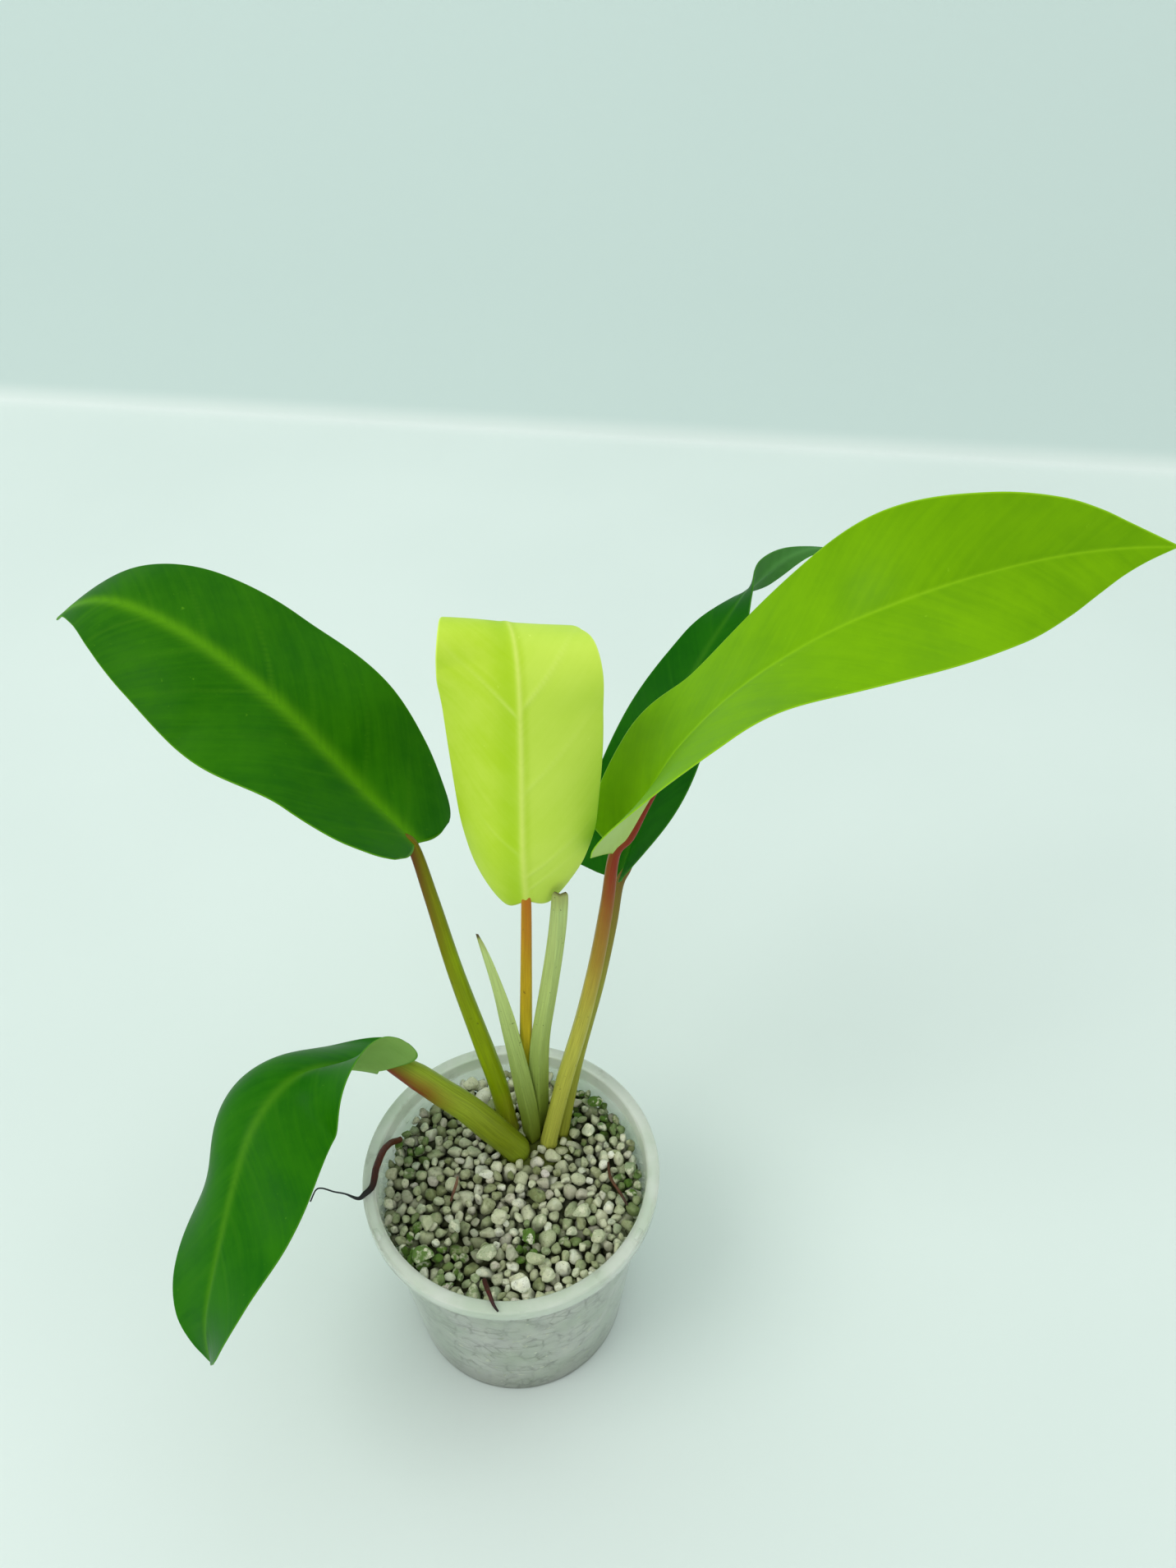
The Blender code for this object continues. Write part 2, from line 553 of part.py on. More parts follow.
def make_petiole(name, petiole, parts, look):
    """A leaf stalk that leaves the crown upright, then climbs to its blade."""
    first = petiole["points"][0]
    start = plant_point((*first, -CROWN_TOP / MM)) + Vector((0, 0, CLEARANCE))
    points = [start + Vector((0, 0, PETIOLE_FOOT))]
    points += [plant_point(point) for point in petiole["points"][1:]]
    route, sizes = smooth_route(points, [r * MM for r in petiole["radii"]], PETIOLE_STEPS)
    route = [start] + list(route)
    sizes = [sizes[0]] + list(sizes)
    return tube(name, route, sizes, parts, look, sides_level=3)


def crown_reach(angle, z):
    """How far the crown's side is from its middle, at a compass angle and a height."""
    drop = min(0.95, max(0, CROWN_MIDDLE - z) / (CROWN_HEIGHT * (1 - CROWN_SHOULDER)))
    across = math.hypot(math.cos(angle) / (CROWN_WIDTH / 2), math.sin(angle) / (CROWN_DEPTH / 2))
    return math.sqrt(1 - drop ** 2) / across


def wall_root_points(name):
    """A root's way from the crown to the pot's wall and along it."""
    points = []
    for compass, height, share in WALL_ROOTS[name]:
        angle = math.radians(compass)
        z = max(PUMICE_LEVEL + height * MM, FLOOR + WALL_ROOT_RADIUS + 2 * CLEARANCE)
        reach = crown_reach(angle, z) + WALL_ROOT_RADIUS + CLEARANCE
        start = Vector((CROWN_CENTRE[0] + reach * math.cos(angle),
                        CROWN_CENTRE[1] + reach * math.sin(angle), z))
        wall = Vector((math.cos(angle), math.sin(angle), 0)) * wall_root_reach(z)
        points.append(start.lerp(wall + Vector((0, 0, z)), share))
    return points


def wall_root_reach(z):
    """How far out a root's middle may lie at a height, clear of the pot's wall."""
    return inner_radius(z) - WALL_ROOT_RADIUS - 2 * CLEARANCE


def inside_wall(point):
    """Bring a point of a root back to the wall where its curve swings past it."""
    reach = math.hypot(point.x, point.y)
    share = min(1, wall_root_reach(point.z) / reach)
    return Vector((point.x * share, point.y * share, point.z))


def make_wall_root(name, fill, parts, cutters, look):
    """A root bedded in the pumice, and the channel that it leaves there."""
    points = wall_root_points(name)
    sizes = [WALL_ROOT_RADIUS] * len(points)
    route, radii = smooth_route(points, sizes, 4 * len(points))
    route = [inside_wall(Vector(point)) for point in route]
    tube(f"root_inner_{name}", route, radii, parts, look, sides_level=1)
    into_crown = 2 * Vector(route[0]) - Vector(route[2])
    past_end = Vector(route[-1]) + (Vector(route[-1]) - Vector(route[-2])).normalized() * CLEARANCE
    bed = tube(f"bed_{name}", [into_crown, *route, past_end],
               [radii[0] + CLEARANCE] * (len(route) + 2), cutters, sides_level=1)
    boolean(fill, hide_cutter(as_mesh(bed)), "DIFFERENCE")


def rim_point(compass, beyond, height):
    angle = math.radians(compass)
    reach = RIM_RADIUS + beyond * MM
    return Vector((reach * math.cos(angle), reach * math.sin(angle), height))


def make_surface_root(name, root, parts, look):
    """A root above the pumice, which may climb over the pot's lip."""
    points = [rim_point(compass, beyond, PUMICE_LEVEL + height * MM)
              for compass, beyond, height in root["on_pumice"]]
    points += [rim_point(compass, beyond, POT_HEIGHT + height * MM)
               for compass, beyond, height in root["at_rim"]]
    route, radii = smooth_route(points, [r * MM for r in root["radii"]], root["count"])
    return tube(name, route, radii, parts, look, sides_level=1)


def ground_of(fill):
    """The pumice's own faces, without its cuts, for what lies on them."""
    bm = bmesh.new()
    bm.from_mesh(fill.data)
    tree = BVHTree.FromBMesh(bm)
    bm.free()
    return tree


def make_grain(number, grain, ground, parts, look):
    """A loose grain: a rough ball squashed to its size, lying on the pumice."""
    x, y, length, width, height = (value * MM for value in grain[:5])
    turn = Matrix.Rotation(math.radians(grain[5]), 3, "Z")
    spread = (inner_radius(PUMICE_LEVEL) - CLEARANCE) / GRAIN_BED_RADIUS
    rough = random.Random(number)
    bm = bmesh.new()
    bmesh.ops.create_icosphere(bm, subdivisions=2, radius=0.5)
    for vert in bm.verts:
        vert.co *= 1 - GRAIN_ROUGHNESS * (1 - rough.random())
    bmesh.ops.scale(bm, verts=bm.verts, vec=(length, width, height))
    bmesh.ops.rotate(bm, verts=bm.verts, matrix=turn)
    bmesh.ops.translate(bm, verts=bm.verts, vec=(x * spread, y * spread, POT_HEIGHT))
    drop = min(vert.co.z - ground.ray_cast(vert.co, Vector((0, 0, -1)))[0].z for vert in bm.verts)
    bmesh.ops.translate(bm, verts=bm.verts, vec=(0, 0, CLEARANCE - drop))
    return mesh_object(f"grain_{number:02d}", bm, parts, look)


def clear_scene():
    for item in list(bpy.data.objects):
        bpy.data.objects.remove(item)


def make_collection(name):
    made = bpy.data.collections.new(name)
    bpy.context.scene.collection.children.link(made)
    return made


clear_scene()
parts = make_collection(COLLECTION)
cutters = make_collection("cutters")

make_pot(parts, cutters)
fill = make_pumice(parts)
crown_shape("crown", parts, 0, CROWN_LEVEL, material("crown_green", (0.2, 0.27, 0.05), 0.5))
pit = crown_shape("crown_pit", cutters, CLEARANCE, POT_HEIGHT)
boolean(fill, hide_cutter(pit), "DIFFERENCE")

for leaf_name, leaf in LEAVES.items():
    make_leaf(f"blade_{leaf_name}", leaf, BLADE_ROWS, BLADE_COLUMNS, BLADE_EDGE, BLADE_MIDRIB,
              parts, material(f"blade_{leaf_name}", leaf["colour"], 0.4))
for petiole_name, petiole in PETIOLES.items():
    make_petiole(f"petiole_{petiole_name}", petiole, parts,
                 material(f"petiole_{petiole_name}", petiole["colour"], 0.4))
for sheath_name, sheath in SHEATHS.items():
    make_leaf(f"sheath_{sheath_name}", sheath, SHEATH_ROWS, SHEATH_COLUMNS, SHEATH_THICKNESS,
              SHEATH_THICKNESS, parts,
              material(f"sheath_{sheath_name}", (0.45, 0.6, 0.25), 0.5))

dry_root = material("dry_root", (0.12, 0.04, 0.02), 0.6)
for root_name in WALL_ROOTS:
    make_wall_root(root_name, fill, parts, cutters, dry_root)
for root_name, root in SURFACE_ROOTS.items():
    make_surface_root(root_name, root, parts, dry_root)
loose_pumice = material("loose_pumice", (0.7, 0.72, 0.62), 0.95)
ground = ground_of(fill)
for number, grain in enumerate(GRAINS, start=1):
    make_grain(number, grain, ground, parts, loose_pumice)
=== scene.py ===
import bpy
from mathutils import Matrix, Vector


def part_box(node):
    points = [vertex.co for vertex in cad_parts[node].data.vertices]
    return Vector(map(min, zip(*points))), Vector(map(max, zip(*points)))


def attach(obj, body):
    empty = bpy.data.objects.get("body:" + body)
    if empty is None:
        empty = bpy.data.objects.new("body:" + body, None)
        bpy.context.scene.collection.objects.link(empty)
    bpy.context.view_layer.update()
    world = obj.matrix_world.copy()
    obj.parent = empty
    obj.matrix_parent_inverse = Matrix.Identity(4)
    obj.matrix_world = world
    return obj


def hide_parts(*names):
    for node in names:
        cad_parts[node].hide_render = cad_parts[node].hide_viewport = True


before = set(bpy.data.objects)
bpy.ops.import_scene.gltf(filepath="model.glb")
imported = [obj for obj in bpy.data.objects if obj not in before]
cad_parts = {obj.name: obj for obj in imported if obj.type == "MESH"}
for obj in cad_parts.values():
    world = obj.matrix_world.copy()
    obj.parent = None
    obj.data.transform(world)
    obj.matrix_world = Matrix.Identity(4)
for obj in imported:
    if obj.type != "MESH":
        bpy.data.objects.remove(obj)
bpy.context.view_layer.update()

import math

import bmesh
import bpy
import numpy as np
from mathutils import Vector
from mathutils.noise import noise as lumps


# Pot: a thin cup of frosted plastic, moulded in one piece, with a flat lip, a skirt hanging from
# the lip's edge, three small pads on the lip and six drain holes in its floor. It stands on the
# table on its rounded base, and everything else stands in it.
POT_HEIGHT = 0.094
RIM_RADIUS = 0.055
LIP_WIDTH = 0.0037
LIP_SKIRT = 0.005
BASE_RADIUS = 0.0425
BASE_FILLET = 0.0016
WALL = 0.0011
POT_FLOOR = 0.0016
DRAIN_HOLES = 6
DRAIN_RADIUS = 0.0035
DRAIN_RING = 0.027
LIP_INNER_CORNER = 0.0008
LIP_OUTER_CORNER = 0.0007
SKIRT_CORNER = 0.0003
LIP_ROOT = 0.0004
WALL_SPAN = (0.012, 0.088)
WALL_RINGS = 8
FOOT_RADIUS = 0.036
RECESS_RADIUS = 0.034
RECESS_DEPTH = 0.0006
FLOOR_RING = 0.012
LIP_PADS = 3
PAD_INSET = 0.00155
PAD_DEPTH = 0.0015
PAD_WIDTH = 0.0046
PAD_SUNK = 0.0002
PAD_THICKNESS = 0.00055
POT_STEPS = 192
FROSTED = (244, 248, 240)
FROSTED_GREEN = (222, 234, 216)
FROSTED_DARKER = (158, 162, 142)
FROSTED_GAP_SHADE = (92, 96, 84)


def linear(colour):
    """A colour from 0 to 255 as it looks on a screen, turned to the light it stands for."""
    share = np.asarray(colour, float) / 255
    light = np.where(share <= 0.04045, share / 12.92, ((share + 0.055) / 1.055) ** 2.4)
    return (*(float(c) for c in light), 1.0)


def wall_radius(height):
    top = RIM_RADIUS - LIP_WIDTH
    return BASE_RADIUS + (top - BASE_RADIUS) * height / POT_HEIGHT


def inner_radius(height):
    return wall_radius(height) - WALL


def rounded(centre, radius, start, end, steps):
    """Points on a round corner of the profile, from one angle to another in degrees."""
    angles = np.radians(np.linspace(start, end, steps + 1))
    return [(centre[0] + radius * math.cos(a), centre[1] + radius * math.sin(a)) for a in angles]


def mesh_piece(name, points, faces, smooth=True):
    """Makes a named object from points and faces, in the frame's own place."""
    mesh = bpy.data.meshes.new(name)
    mesh.from_pydata([tuple(p) for p in points], [], faces)
    mesh.update()
    if smooth:
        mesh.shade_smooth()
    piece = bpy.data.objects.new(name, mesh)
    bpy.context.scene.collection.objects.link(piece)
    return piece


def settle_modifiers(piece):
    """Gives the piece the mesh that its modifiers make, and drops them."""
    view = bpy.context.evaluated_depsgraph_get()
    mesh = bpy.data.meshes.new_from_object(piece.evaluated_get(view))
    piece.modifiers.clear()
    piece.data = mesh


def cut(piece, tool, operation):
    step = piece.modifiers.new(operation.lower(), "BOOLEAN")
    step.operation = operation
    step.solver = "EXACT"
    step.object = tool
    settle_modifiers(piece)
    bpy.data.objects.remove(tool)


def fit(piece, slot_name, *nodes):
    """Every piece here rides on the one body and stands for CAD nodes; slot_name is not used."""
    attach(piece, "root")
    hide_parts(*nodes)


def node(tree, kind, **settings):
    """Adds a shader node. A socket given for an input is linked, and a value is set on it."""
    made = tree.nodes.new("ShaderNode" + kind)
    for key, value in settings.items():
        if key[0].islower():
            setattr(made, key, value)
            continue
        place = int(key[1:]) if key[1:].isdigit() else key.replace("_", " ")
        if isinstance(value, bpy.types.NodeSocket):
            tree.links.new(value, made.inputs[place])
        else:
            made.inputs[place].default_value = value
    return made


def plus(tree, a, b):
    return node(tree, "Math", operation="ADD", I0=a, I1=b).outputs[0]


def times(tree, a, b, clamp=False):
    return node(tree, "Math", operation="MULTIPLY", use_clamp=clamp, I0=a, I1=b).outputs[0]


def from_middle(tree, noise, amount):
    """A noise turned to run from minus half the amount to plus half of it."""
    centred = node(tree, "Math", operation="SUBTRACT", I0=noise, I1=0.5).outputs[0]
    return times(tree, centred, amount)


def spread(tree, value, low, high, to_low=0.0, to_high=1.0):
    """Maps a value's range to another with soft ends."""
    made = node(tree, "MapRange", interpolation_type="SMOOTHSTEP", Value=value, From_Min=low,
                From_Max=high, To_Min=to_low, To_Max=to_high)
    return made.outputs["Result"]


def blend_colours(tree, share, first, second, how="MIX"):
    made = node(tree, "Mix", data_type="RGBA", blend_type=how, I0=share, I6=first, I7=second)
    return made.outputs[2]


def colour_steps(tree, share, steps):
    """A colour ramp from pairs of place and colour."""
    made = node(tree, "ValToRGB", Fac=share)
    ramp = made.color_ramp
    while len(ramp.elements) < len(steps):
        ramp.elements.new(0.5)
    for element, (place, colour) in zip(ramp.elements, steps):
        element.position = place
    for element, (place, colour) in zip(ramp.elements, steps):
        element.color = linear(colour)
    return made.outputs["Color"]


def grain_noise(tree, place, scale, detail=3.0, rough=0.55):
    made = node(tree, "TexNoise", Vector=place, Scale=scale, Detail=detail, Roughness=rough)
    return made.outputs["Fac"]


def stretched(tree, place, scale):
    return node(tree, "Mapping", Vector=place, Scale=scale).outputs["Vector"]


def new_finish(name, roughness, gloss=0.5):
    """A material whose shader has the constants set on its own sockets."""
    made = bpy.data.materials.new(name)
    made.use_nodes = True
    shader = made.node_tree.nodes["Principled BSDF"]
    shader.inputs["Roughness"].default_value = roughness
    shader.inputs["Specular IOR Level"].default_value = gloss
    return made, made.node_tree, shader


def object_place(tree):
    return node(tree, "TexCoord").outputs["Object"]


def give_look(tree, shader, tint, matt):
    tree.links.new(tint, shader.inputs["Base Color"])
    tree.links.new(matt, shader.inputs["Roughness"])


def raise_bump(tree, shader, height, strength, distance):
    bump = node(tree, "Bump", Strength=strength, Distance=distance, Height=height)
    tree.links.new(bump.outputs["Normal"], shader.inputs["Normal"])


def pot_profile():
    """The cut through the pot, from the middle of its floor up the inside and down the outside."""
    skirt_inner = RIM_RADIUS - WALL
    lip_under = POT_HEIGHT - WALL
    inside_fillet = (inner_radius(POT_FLOOR + BASE_FILLET) - BASE_FILLET, POT_FLOOR + BASE_FILLET)
    lip_inside = (inner_radius(POT_HEIGHT) + LIP_INNER_CORNER, POT_HEIGHT - LIP_INNER_CORNER)
    lip_outside = (RIM_RADIUS - LIP_OUTER_CORNER, POT_HEIGHT - LIP_OUTER_CORNER)
    skirt_foot = POT_HEIGHT - LIP_SKIRT + SKIRT_CORNER
    points = [(0, POT_FLOOR), (FLOOR_RING, POT_FLOOR), (RECESS_RADIUS, POT_FLOOR)]
    points += rounded(inside_fillet, BASE_FILLET, -90, 0, 6)
    points += [(inner_radius(z), z) for z in np.linspace(*WALL_SPAN, WALL_RINGS)]
    points += rounded(lip_inside, LIP_INNER_CORNER, 180, 90, 5)
    points += rounded(lip_outside, LIP_OUTER_CORNER, 90, 0, 5)
    points += rounded((RIM_RADIUS - SKIRT_CORNER, skirt_foot), SKIRT_CORNER, 0, -90, 2)
    points += rounded((skirt_inner + SKIRT_CORNER, skirt_foot), SKIRT_CORNER, -90, -180, 2)
    points += [(skirt_inner, lip_under - LIP_ROOT), (skirt_inner - LIP_ROOT, lip_under)]
    points += [(wall_radius(lip_under) + SKIRT_CORNER, lip_under),
               (wall_radius(lip_under), lip_under - SKIRT_CORNER)]
    points += [(wall_radius(z), z) for z in np.linspace(*WALL_SPAN[::-1], WALL_RINGS)]
    points += rounded((wall_radius(BASE_FILLET) - BASE_FILLET, BASE_FILLET), BASE_FILLET, 0, -90, 6)
    points += [(FOOT_RADIUS, 0.0), (RECESS_RADIUS + 0.0005, RECESS_DEPTH)]
    points += [(RECESS_RADIUS, RECESS_DEPTH), (FLOOR_RING, RECESS_DEPTH), (0, RECESS_DEPTH)]
    return points


def turned(name, profile, steps):
    """Turns a profile round the upright axis. Its first and last points lie on the axis."""
    angles = np.linspace(0, 2 * math.pi, steps, endpoint=False)
    points = [(0, 0, profile[0][1]), (0, 0, profile[-1][1])]
    for radius, height in profile[1:-1]:
        points += [(radius * math.cos(a), radius * math.sin(a), height) for a in angles]
    rings = len(profile) - 2
    faces = []
    for k in range(steps):
        after = (k + 1) % steps
        faces.append((0, 2 + k, 2 + after))
        last = 2 + (rings - 1) * steps
        faces.append((1, last + after, last + k))
        for ring in range(rings - 1):
            low = 2 + ring * steps
            faces.append((low + k, low + steps + k, low + steps + after, low + after))
    return mesh_piece(name, points, faces)


def solid_from(name, build):
    bm = bmesh.new()
    build(bm)
    bmesh.ops.recalc_face_normals(bm, faces=bm.faces)
    mesh = bpy.data.meshes.new(name)
    bm.to_mesh(mesh)
    bm.free()
    made = bpy.data.objects.new(name, mesh)
    bpy.context.scene.collection.objects.link(made)
    return made


def lip_pads(bm):
    for k in range(LIP_PADS):
        angle = math.radians(90) + 2 * math.pi * k / LIP_PADS
        cube = bmesh.ops.create_cube(bm, size=1)["verts"]
        for vert in cube:
            reach = RIM_RADIUS - PAD_INSET + vert.co.x * PAD_DEPTH
            turn = angle + vert.co.y * PAD_WIDTH / RIM_RADIUS
            height = POT_HEIGHT - PAD_SUNK + (vert.co.z + 0.5) * PAD_THICKNESS
            vert.co = (reach * math.cos(turn), reach * math.sin(turn), height)
    bmesh.ops.bevel(bm, geom=bm.edges[:], offset=0.0001, segments=1, affect="EDGES")


def drain_holes(bm):
    for k in range(DRAIN_HOLES):
        angle = 2 * math.pi * (k + 0.5) / DRAIN_HOLES
        hole = bmesh.ops.create_cone(bm, cap_ends=True, segments=48, radius1=DRAIN_RADIUS,
                                     radius2=DRAIN_RADIUS, depth=0.01)["verts"]
        for vert in hole:
            vert.co.x += DRAIN_RING * math.cos(angle)
            vert.co.y += DRAIN_RING * math.sin(angle)


def frosted_plastic(name, clearness):
    """Milky plastic, darker towards its foot, with faint lines of painted shade in the gaps between
    the grains that lie against it. The thicker it is, the less shows through it."""
    finish, tree, shader = new_finish(name, 0.3, 0.4)
    place = object_place(tree)
    cloud = grain_noise(tree, place, 45, 4)
    tint = blend_colours(tree, spread(tree, cloud, 0.35, 0.7), linear(FROSTED),
                         linear(FROSTED_GREEN))
    steps = node(tree, "SeparateXYZ", Vector=place)
    # Darker towards the foot, with a wandering border.
    wander = times(tree, grain_noise(tree, place, 70, 3), 0.02)
    low = spread(tree, plus(tree, steps.outputs["Z"], wander), 0.012, 0.036, 0.5, 0.0)
    tint = blend_colours(tree, low, tint, linear(FROSTED_DARKER))
    film = grain_noise(tree, stretched(tree, place, (1, 1, 1.6)), 85, 5, 0.7)
    tint = blend_colours(tree, spread(tree, film, 0.56, 0.72, 0.0, 0.3), tint,
                         linear(FROSTED_DARKER))
    # Painted shade: dark lines in the gaps between the grains that lie against the wall, below the
    # pumice's top.
    cells = node(tree, "TexVoronoi", feature="DISTANCE_TO_EDGE", Vector=place, Scale=185)
    lines = spread(tree, cells.outputs["Distance"], 0.0, 0.12, 0.5, 0.0)
    lines = times(tree, lines, spread(tree, film, 0.4, 0.6))
    lines = times(tree, lines, spread(tree, steps.outputs["Z"], 0.078, 0.084, 1, 0))
    tint = blend_colours(tree, lines, tint, linear(FROSTED_GAP_SHADE))
    haze = spread(tree, grain_noise(tree, place, 160, 3), 0.3, 0.75, 0.06, 0.16)
    give_look(tree, shader, tint, haze)
    shader.inputs["Transmission Weight"].default_value = clearness
    shader.inputs["IOR"].default_value = 1.3
    raise_bump(tree, shader, grain_noise(tree, place, 900, 2), 0.08, 0.0001)
    return finish


pot = turned("frosted_pot", pot_profile(), POT_STEPS)
cut(pot, solid_from("pads", lip_pads), "UNION")
cut(pot, solid_from("drains", drain_holes), "DIFFERENCE")
pot.data.shade_smooth()
pot.data.set_sharp_from_angle(angle=math.radians(50))
pot.data.materials.clear()
pot.data.materials.append(frosted_plastic("frosted_wall", 0.7))
pot.data.materials.append(frosted_plastic("frosted_lip", 0.42))
for face in pot.data.polygons:
    face.material_index = int(face.center.z > POT_HEIGHT - LIP_SKIRT - 0.0002)
fit(pot, "pot", "pot")


# Crown: the plant's short, knobbly stem, green where the light reaches it. It sits just under
# the pumice, and the stalks, the scales and the roots all grow out of it.
HEADSPACE = 0.009
PUMICE_LEVEL = POT_HEIGHT - HEADSPACE
CROWN_CENTRE = (0.007, 0.019)
CROWN_WIDTH = 0.033
CROWN_DEPTH = 0.027
CROWN_TOP = 0.003
CROWN_HEIGHT = 0.026
CROWN_SHOULDER = 0.35
CROWN_LEVEL = PUMICE_LEVEL - CROWN_TOP
CROWN_MIDDLE = CROWN_LEVEL - CROWN_HEIGHT * CROWN_SHOULDER
CROWN_FLATNESS = (1.3, 1.4)
CROWN_GREEN = ((0.0, (70, 66, 22)), (0.55, (92, 104, 34)), (1.0, (124, 138, 52)))


def crown_stem(bm):
    bmesh.ops.create_icosphere(bm, subdivisions=5, radius=1)
    wider, flatter = CROWN_FLATNESS
    for vert in bm.verts:
        way = vert.co.copy()
        side = math.hypot(way.x, way.y)
        if way.z > 0 and side > 0:
            share = min(1, side * wider) / side
            way = Vector((way.x * share, way.y * share, min(1, way.z * flatter)))
        knobs = 1 - 0.05 * (1 + lumps(way * 3.1)) - 0.02 * (1 + math.sin(way.z * 24))
        rise = CROWN_LEVEL - CROWN_MIDDLE if way.z > 0 else CROWN_HEIGHT * (1 - CROWN_SHOULDER)
        vert.co = (CROWN_CENTRE[0] + way.x * CROWN_WIDTH / 2 * knobs,
                   CROWN_CENTRE[1] + way.y * CROWN_DEPTH / 2 * knobs,
                   CROWN_MIDDLE + way.z * rise * (1 - 0.04 * (1 + lumps(way * 5))))


def crown_skin():
    finish, tree, shader = new_finish("crown_skin", 0.55, 0.3)
    place = object_place(tree)
    patches = grain_noise(tree, place, 180, 4)
    rings = grain_noise(tree, stretched(tree, place, (60, 60, 900)), 1, 3)
    shade = plus(tree, times(tree, patches, 0.7), times(tree, rings, 0.3))
    tint = colour_steps(tree, spread(tree, shade, 0.3, 0.7), CROWN_GREEN)
    give_look(tree, shader, tint, spread(tree, patches, 0.3, 0.7, 0.42, 0.68))
    raise_bump(tree, shader, shade, 0.5, 0.0006)
    return finish


crown = solid_from("plant_crown", crown_stem)
crown.data.shade_smooth()
crown.data.materials.append(crown_skin())
fit(crown, "crown", "crown")


# Stalks: five fleshy leaf stalks that leave the crown close together, flare where they clasp it,
# have a shallow groove along the top and run on into their leaf's rib. They are green to ochre
# below and flushed red or brown towards the leaf.
STALK_SIDES = 32
STALK_RINGS = 110
ROUTE_STEPS = 24
END_TURNS = (0.12, 0.4, 0.75)
TAIL_SHARES = (0.8, 0.55, 0.3)
STALKS = {
    "upper_left": dict(
        points=((-2.5, 23, -2.7), (-2.5, 23, 0.3), (-6, 28, 20), (-10.5, 32.5, 37),
                (-19.5, 41, 71), (-26.5, 49, 102), (-31.5, 54.5, 121.5)),
        radii=(3.5, 3.4, 3.6, 3.6, 3, 2.5, 2.1), groove=(0.2, -1, 0), blush=(-1, -0.2, 0),
        skin=((0.0, (160, 160, 40)), (0.12, (138, 162, 6)), (0.5, (134, 156, 4)),
              (0.72, (126, 126, 6)), (0.88, (112, 88, 12)), (1.0, (108, 62, 20))),
        blush_run=(0.3, 0.8), red=(104, 40, 22)),
    "centre": dict(
        points=((5, 27, -2.7), (5, 27, 0.3), (5, 27.5, 20), (5.5, 28, 45), (7, 30, 88),
                (8, 31.5, 118.5)),
        radii=(2.3, 2.3, 2.4, 2.4, 2, 1.7), groove=(0, -1, 0), blush=(0.8, -0.6, 0),
        skin=((0.0, (186, 188, 48)), (0.3, (192, 178, 36)), (0.6, (190, 156, 26)),
              (0.82, (188, 130, 26)), (1.0, (176, 104, 20))),
        blush_run=(0.5, 1.0), red=(184, 88, 26)),
    "right_front": dict(
        points=((13.5, 17.5, -2.7), (13.5, 17.5, 0.3), (19.5, 23, 31), (26, 28, 59), (31, 33, 85),
                (34.5, 37, 110), (37, 40.5, 132)),
        radii=(3.1, 3, 3.2, 3, 2.8, 2.5, 2), groove=(-1, -0.3, 0), blush=(0.3, -0.8, -0.4),
        skin=((0.0, (178, 182, 72)), (0.3, (186, 186, 76)), (0.55, (172, 152, 54)),
              (0.75, (150, 106, 40)), (0.88, (134, 66, 26)), (1.0, (116, 34, 20))),
        blush_run=(0.4, 0.75), red=(138, 44, 26)),
    "right_back": dict(
        points=((18.5, 22.5, -2.7), (18.5, 22.5, 0.3), (24, 34, 28), (32, 49, 55),
                (37, 60.5, 75), (39.8, 69.6, 87.2)),
        radii=(2.6, 2.6, 2.7, 2.5, 2.2, 1.9), groove=(-1, -0.5, 0), blush=(0, -1, 0),
        skin=((0.0, (150, 156, 50)), (0.4, (150, 154, 56)), (0.7, (134, 120, 48)),
              (1.0, (100, 66, 30))),
        blush_run=(0.6, 1.0), red=(112, 66, 44)),
    "lower_left": dict(
        points=((0, 13.5, -2.7), (0, 13.5, 0.3), (-9, 14, 14), (-17.5, 14.5, 26), (-25, 14.5, 35),
                (-33, 14.7, 44.5), (-42.5, 16.2, 52)),
        radii=(4.8, 5.2, 5.6, 5.2, 5, 4.7, 3.2), groove=(0.3, 0.3, 1), blush=(-0.3, -0.8, -0.8),
        skin=((0.0, (124, 142, 30)), (0.2, (122, 138, 22)), (0.5, (142, 160, 40)),
              (0.8, (146, 166, 44)), (1.0, (132, 150, 40))),
        blush_run=(0.5, 0.74), red=(132, 22, 14)),
}


def plant_points(points):
    """Places given in mm from the pumice surface, in the frame."""
    return [np.array((x, y, z)) / 1000 + (0, 0, PUMICE_LEVEL) for x, y, z in points]


def smooth_route(points, radii, count):
    """Spreads count points evenly along a smooth curve through the route's own points."""
    points = [np.array(p, float) for p in points]
    before = [2 * points[0] - points[1]] + points[:-1]
    after = points[1:] + [2 * points[-1] - points[-2]]
    fine = []
    fine_radii = []
    for i in range(len(points) - 1):
        start_pull = (points[i + 1] - before[i]) / 2
        end_pull = (after[i + 1] - points[i]) / 2
        for s in np.linspace(0, 1, ROUTE_STEPS, endpoint=i == len(points) - 2):
            fine.append((1 + 2 * s) * (1 - s) ** 2 * points[i] + s * (1 - s) ** 2 * start_pull
                        + s * s * (3 - 2 * s) * points[i + 1] + s * s * (s - 1) * end_pull)
            fine_radii.append(radii[i] + (radii[i + 1] - radii[i]) * s)
    fine = np.array(fine)
    run = np.concatenate([[0], np.cumsum(np.linalg.norm(np.diff(fine, axis=0), axis=1))])
    even = np.linspace(0, run[-1], count)
    route = np.stack([np.interp(even, run, fine[:, axis]) for axis in range(3)], axis=1)
    return route, np.interp(even, run, fine_radii)


def unit(vectors):
    vectors = np.asarray(vectors, float)
    return vectors / np.maximum(np.linalg.norm(vectors, axis=-1, keepdims=True), 1e-12)


def keep_values(piece, name, values, kind="FLOAT"):
    """Stores a number or a vector for each point of the mesh, for its material to read."""
    layer = piece.data.attributes.new(name, kind, "POINT")
    key = "value" if kind == "FLOAT" else "vector"
    layer.data.foreach_set(key, np.asarray(values, np.float32).ravel())


